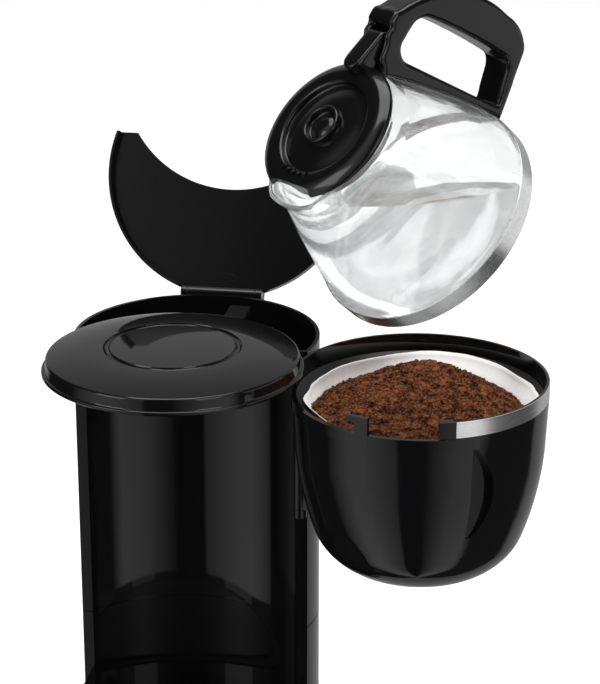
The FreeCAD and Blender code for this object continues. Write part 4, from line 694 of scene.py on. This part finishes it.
CHEEK_IN = 7.4
CHEEK_OUT = 11
CHEEK_FRONT = 46
CHEEK_LOW = 100.5
CHEEK_DROP = 0.008
BRIDGE_FRONT = 67
BRIDGE_LOW = 101
HEAD_TOP = 116.4
HEAD_END = 76
handle = copied("jug_handle")
hood = []
for low, high in ((-CHEEK_OUT, -CHEEK_IN), (CHEEK_IN, CHEEK_OUT)):
    cheek = block((CHEEK_FRONT, low, CHEEK_LOW), (HEAD_END, high, HEAD_TOP))
    for point in cheek.data.vertices:
        if point.co.x < 0.05 and point.co.z > 0.11:
            point.co.z -= CHEEK_DROP
    hood.append(cheek)
hood.append(block((BRIDGE_FRONT, -CHEEK_OUT, BRIDGE_LOW), (HEAD_END, CHEEK_OUT, HEAD_TOP)))
for part in hood:
    posed(part)
picked(*hood, handle)
bpy.ops.object.join()
softened(handle, grain=0.0008, turns=70)
soft_gloss = plastic("soft_gloss", (0.004, 0.004, 0.0045), roughness=(0.11, 0.17), grain=1500, depth=0.03)
settle(handle, soft_gloss, "jug_handle")

# Jug lid: a broad rounded ring with a dished middle, moulded in black plastic, with a notch and slots on the
# pouring side. A thumb lever reaches back between the handle's cheeks and turns on the pin.
LEVER_FRONT = 41
LEVER_END = 62.6
LEVER_HALF = 7
LEVER_LOW = 105.4
LEVER_TOP = 119
LEVER_SLOPE = 0.17
LEVER_NOSE = (LEVER_FRONT - LEVER_HALF) / 1000
NOTCH = (-60, -17, 90), (-37.2, 17, 120)
SLOT = (-32.6, -0.95, 90), (-28.2, 0.95, 120)
SLOT_COUNT = 5
SLOT_STEP = 9
dish_edge = (27.6, 106.7)
ring_low = (29.0, 108.2)
ring_in = (30.8, 110.1)
ring_out = (42.4, 107.6)
lid_dish = [(0, 109.6), (9, 109.6), *bow((9, 109.6), (19, 108.6), (26.4, 106.8), 6), dish_edge]
lid_ring = [
    *bow(dish_edge, (28.6, 107.2), ring_low, 4), *bow(ring_low, (29.5, 109.5), ring_in, 4),
    *bow(ring_in, (38.2, 109.9), ring_out, 10), *bow(ring_out, (43.2, 106.8), (43.4, 105.8), 3)]
lid_skirt = [(43.4, 104.9), (43, 104.4), (37, 104.4), (37, 96.8), (36.6, 96.4), (35.6, 96.4), (35.2, 96.8)]
lid_under = [(35.2, 104.8), (28, 104.8), (13, 107.8), (0, 107.8)]
lid_cap = turned("jug_lid_skin", [*lid_dish, *lid_ring, *lid_skirt, *lid_under], 144)
combined(lid_cap, block(*NOTCH, rounding=2.5), "DIFFERENCE")
for index in range(SLOT_COUNT):
    slot = block(*SLOT, rounding=0.6)
    slot.rotation_euler.z = math.radians(SLOT_STEP * (index - (SLOT_COUNT - 1) / 2))
    bpy.ops.object.transform_apply(location=False, rotation=True, scale=False)
    combined(lid_cap, slot, "DIFFERENCE")
lever = block((LEVER_FRONT, -LEVER_HALF, LEVER_LOW), (LEVER_END, LEVER_HALF, LEVER_TOP))
nose = turned("lever_nose", [
    (0, LEVER_LOW), (LEVER_HALF, LEVER_LOW), (LEVER_HALF, LEVER_TOP), (0, LEVER_TOP)], 48)
bpy.ops.transform.translate(value=(LEVER_FRONT / 1000, 0, 0))
bpy.ops.object.transform_apply(location=True, rotation=False, scale=False)
picked(nose, lever)
bpy.ops.object.join()
for point in lever.data.vertices:
    if point.co.z > 0.11:
        point.co.z -= LEVER_SLOPE * (point.co.x - LEVER_NOSE)
softened(lever, grain=0.0005, turns=90)
combined(lid_cap, lever, "UNION")
settle(posed(smoothed(lid_cap, edge=0, corner=48)), soft_gloss, "jug_lid")

# Lid knob: a raised ring round a low button, moulded in the plastic of the lid and pressed into the middle
# of its dish.
knob_button = [(0, 111.6), *bow((0, 111.6), (4.4, 111.2), (7.4, 109.8), 6), (8.8, 109.7), (9.6, 110.4)]
knob_ring = [(9.7, 112.7), *bow((9.7, 112.7), (10.9, 113.6), (12.1, 112.8), 8), (12.5, 110.2)]
knob = turned("lid_knob_skin", [*knob_button, *knob_ring, (12.7, 109.2), (0, 109.2)], 96)
settle(posed(smoothed(knob, edge=0, corner=48)), soft_gloss, "lid_knob")


# Studio: a pale table that runs into a white backdrop, under large soft boxes. Polished walls mirror tall
# panels with dark gaps between them, and the table is kept out of those reflections.
def in_view(start):
    """1 for what the camera sees, straight or through glass, and 0 for what only lights the object."""
    direct = start.node("ShaderNodeLightPath", {}, {}, "Is Camera Ray")
    passed = start.node("ShaderNodeLightPath", {}, {}, "Transmission Depth")
    return start.math("MAXIMUM", direct, start.math("MINIMUM", passed, 1))


WHITE = (1, 1, 1, 1)
TABLE_COLOUR = (0.82, 0.82, 0.82, 1)
TABLE_GLOW = 0.35
AMBIENT = 0.7
PANELS = [
    (0, 0.42), (0.125, 0.42), (0.15, 0.02), (0.26, 0.01), (0.335, 0.9), (0.375, 0.95), (0.458, 0.4),
    (0.466, 0.0), (0.53, 0.0), (0.61, 0.8), (0.67, 0.95), (0.70, 0.05), (0.85, 0.03), (0.875, 0.42),
    (1, 0.42)]
bpy.ops.object.select_all(action="DESELECT")
bpy.ops.mesh.primitive_plane_add(size=30, location=(0, 0, -0.0002))
floor = bpy.context.active_object
floor.name = "floor"
pale = bpy.data.materials.new("pale_floor")
pale.use_nodes = True
pale.node_tree.nodes.clear()
start = Wire(pale.node_tree)
diffuse = start.node("ShaderNodeBsdfDiffuse", {}, {"Color": TABLE_COLOUR})
glow = start.node("ShaderNodeEmission", {}, {"Color": WHITE, "Strength": TABLE_GLOW})
lifted = start.node("ShaderNodeAddShader", {}, {0: diffuse, 1: glow})
table = start.node("ShaderNodeMixShader", {}, {"Fac": in_view(start), 1: diffuse, 2: lifted})
start.node("ShaderNodeOutputMaterial", {}, {"Surface": table})
floor.data.materials.append(pale)
floor.visible_glossy = False

world = bpy.data.worlds.new("studio")
bpy.context.scene.world = world
world.use_nodes = True
world.node_tree.nodes.clear()
start = Wire(world.node_tree)
heading = start.node("ShaderNodeTexCoord", {}, {}, "Generated")
across = start.node("ShaderNodeSeparateXYZ", {}, {"Vector": heading}, "X")
along = start.node("ShaderNodeSeparateXYZ", {}, {"Vector": heading}, "Y")
bearing = 0.5 + start.math("ARCTAN2", across, -1 * along) * (1 / math.tau)
panels = tinted(bearing, *[(place, (level, level, level)) for place, level in PANELS])
mirrored = start.node("ShaderNodeLightPath", {}, {}, "Is Glossy Ray")
ambient = start.node("ShaderNodeBackground", {}, {"Color": WHITE, "Strength": AMBIENT})
banded = start.node("ShaderNodeBackground", {}, {"Color": panels, "Strength": 1.0})
white = start.node("ShaderNodeBackground", {}, {"Color": WHITE, "Strength": 1.0})
bounced = start.node("ShaderNodeMixShader", {}, {"Fac": mirrored, 1: ambient, 2: banded})
backdrop = start.node("ShaderNodeMixShader", {}, {"Fac": in_view(start), 1: bounced, 2: white})
start.node("ShaderNodeOutputWorld", {}, {"Surface": backdrop})


def softbox(name, spot, aim, width, height, watts):
    """A square-edged lamp that faces its aim and isn't seen by the camera."""
    lamp = bpy.data.lights.new(name, "AREA")
    lamp.shape = "RECTANGLE"
    lamp.size = width
    lamp.size_y = height
    lamp.energy = watts
    holder = placed(name, lamp)
    holder.location = spot
    holder.rotation_euler = (Vector(aim) - Vector(spot)).to_track_quat("-Z", "Y").to_euler()
    holder.visible_camera = False


softbox("left_box", spot=(-1.25, -1.25, 1.1), aim=(0.05, 0, 0.3), width=0.9, height=0.9, watts=8)
softbox("right_box", spot=(1.25, -1.30, 1.1), aim=(0.05, 0, 0.3), width=0.7, height=0.9, watts=5)
softbox("top_box", spot=(0.1, 0.0, 2.0), aim=(0.1, 0, 0.3), width=1.4, height=1.2, watts=22)
softbox("side_card", spot=(0.72, 0.08, 0.41), aim=(0.2, 0, 0.41), width=0.62, height=0.36, watts=0.6)

# Camera: a long lens a little above the machine and to its right. Its place and length were fitted to the
# round rims of the cover, the tank and the basket.
CAMERA_SPOT = (0.306586, -1.347363, 0.827037)
CAMERA_DIP = 19.8168
CAMERA_TURN = 9.4465
FOCAL_PIXELS = 2300.04
FRAME_PIXELS = 684
SENSOR = 36
camera = placed("camera", bpy.data.cameras.new("camera"))
camera.location = CAMERA_SPOT
camera.rotation_euler = (math.radians(90 - CAMERA_DIP), 0, math.radians(CAMERA_TURN))
camera.data.sensor_fit = "VERTICAL"
camera.data.sensor_height = SENSOR
camera.data.lens = FOCAL_PIXELS / FRAME_PIXELS * SENSOR
camera.data.clip_end = 30
bpy.context.scene.camera = camera
bpy.context.scene.view_settings.view_transform = "Standard"
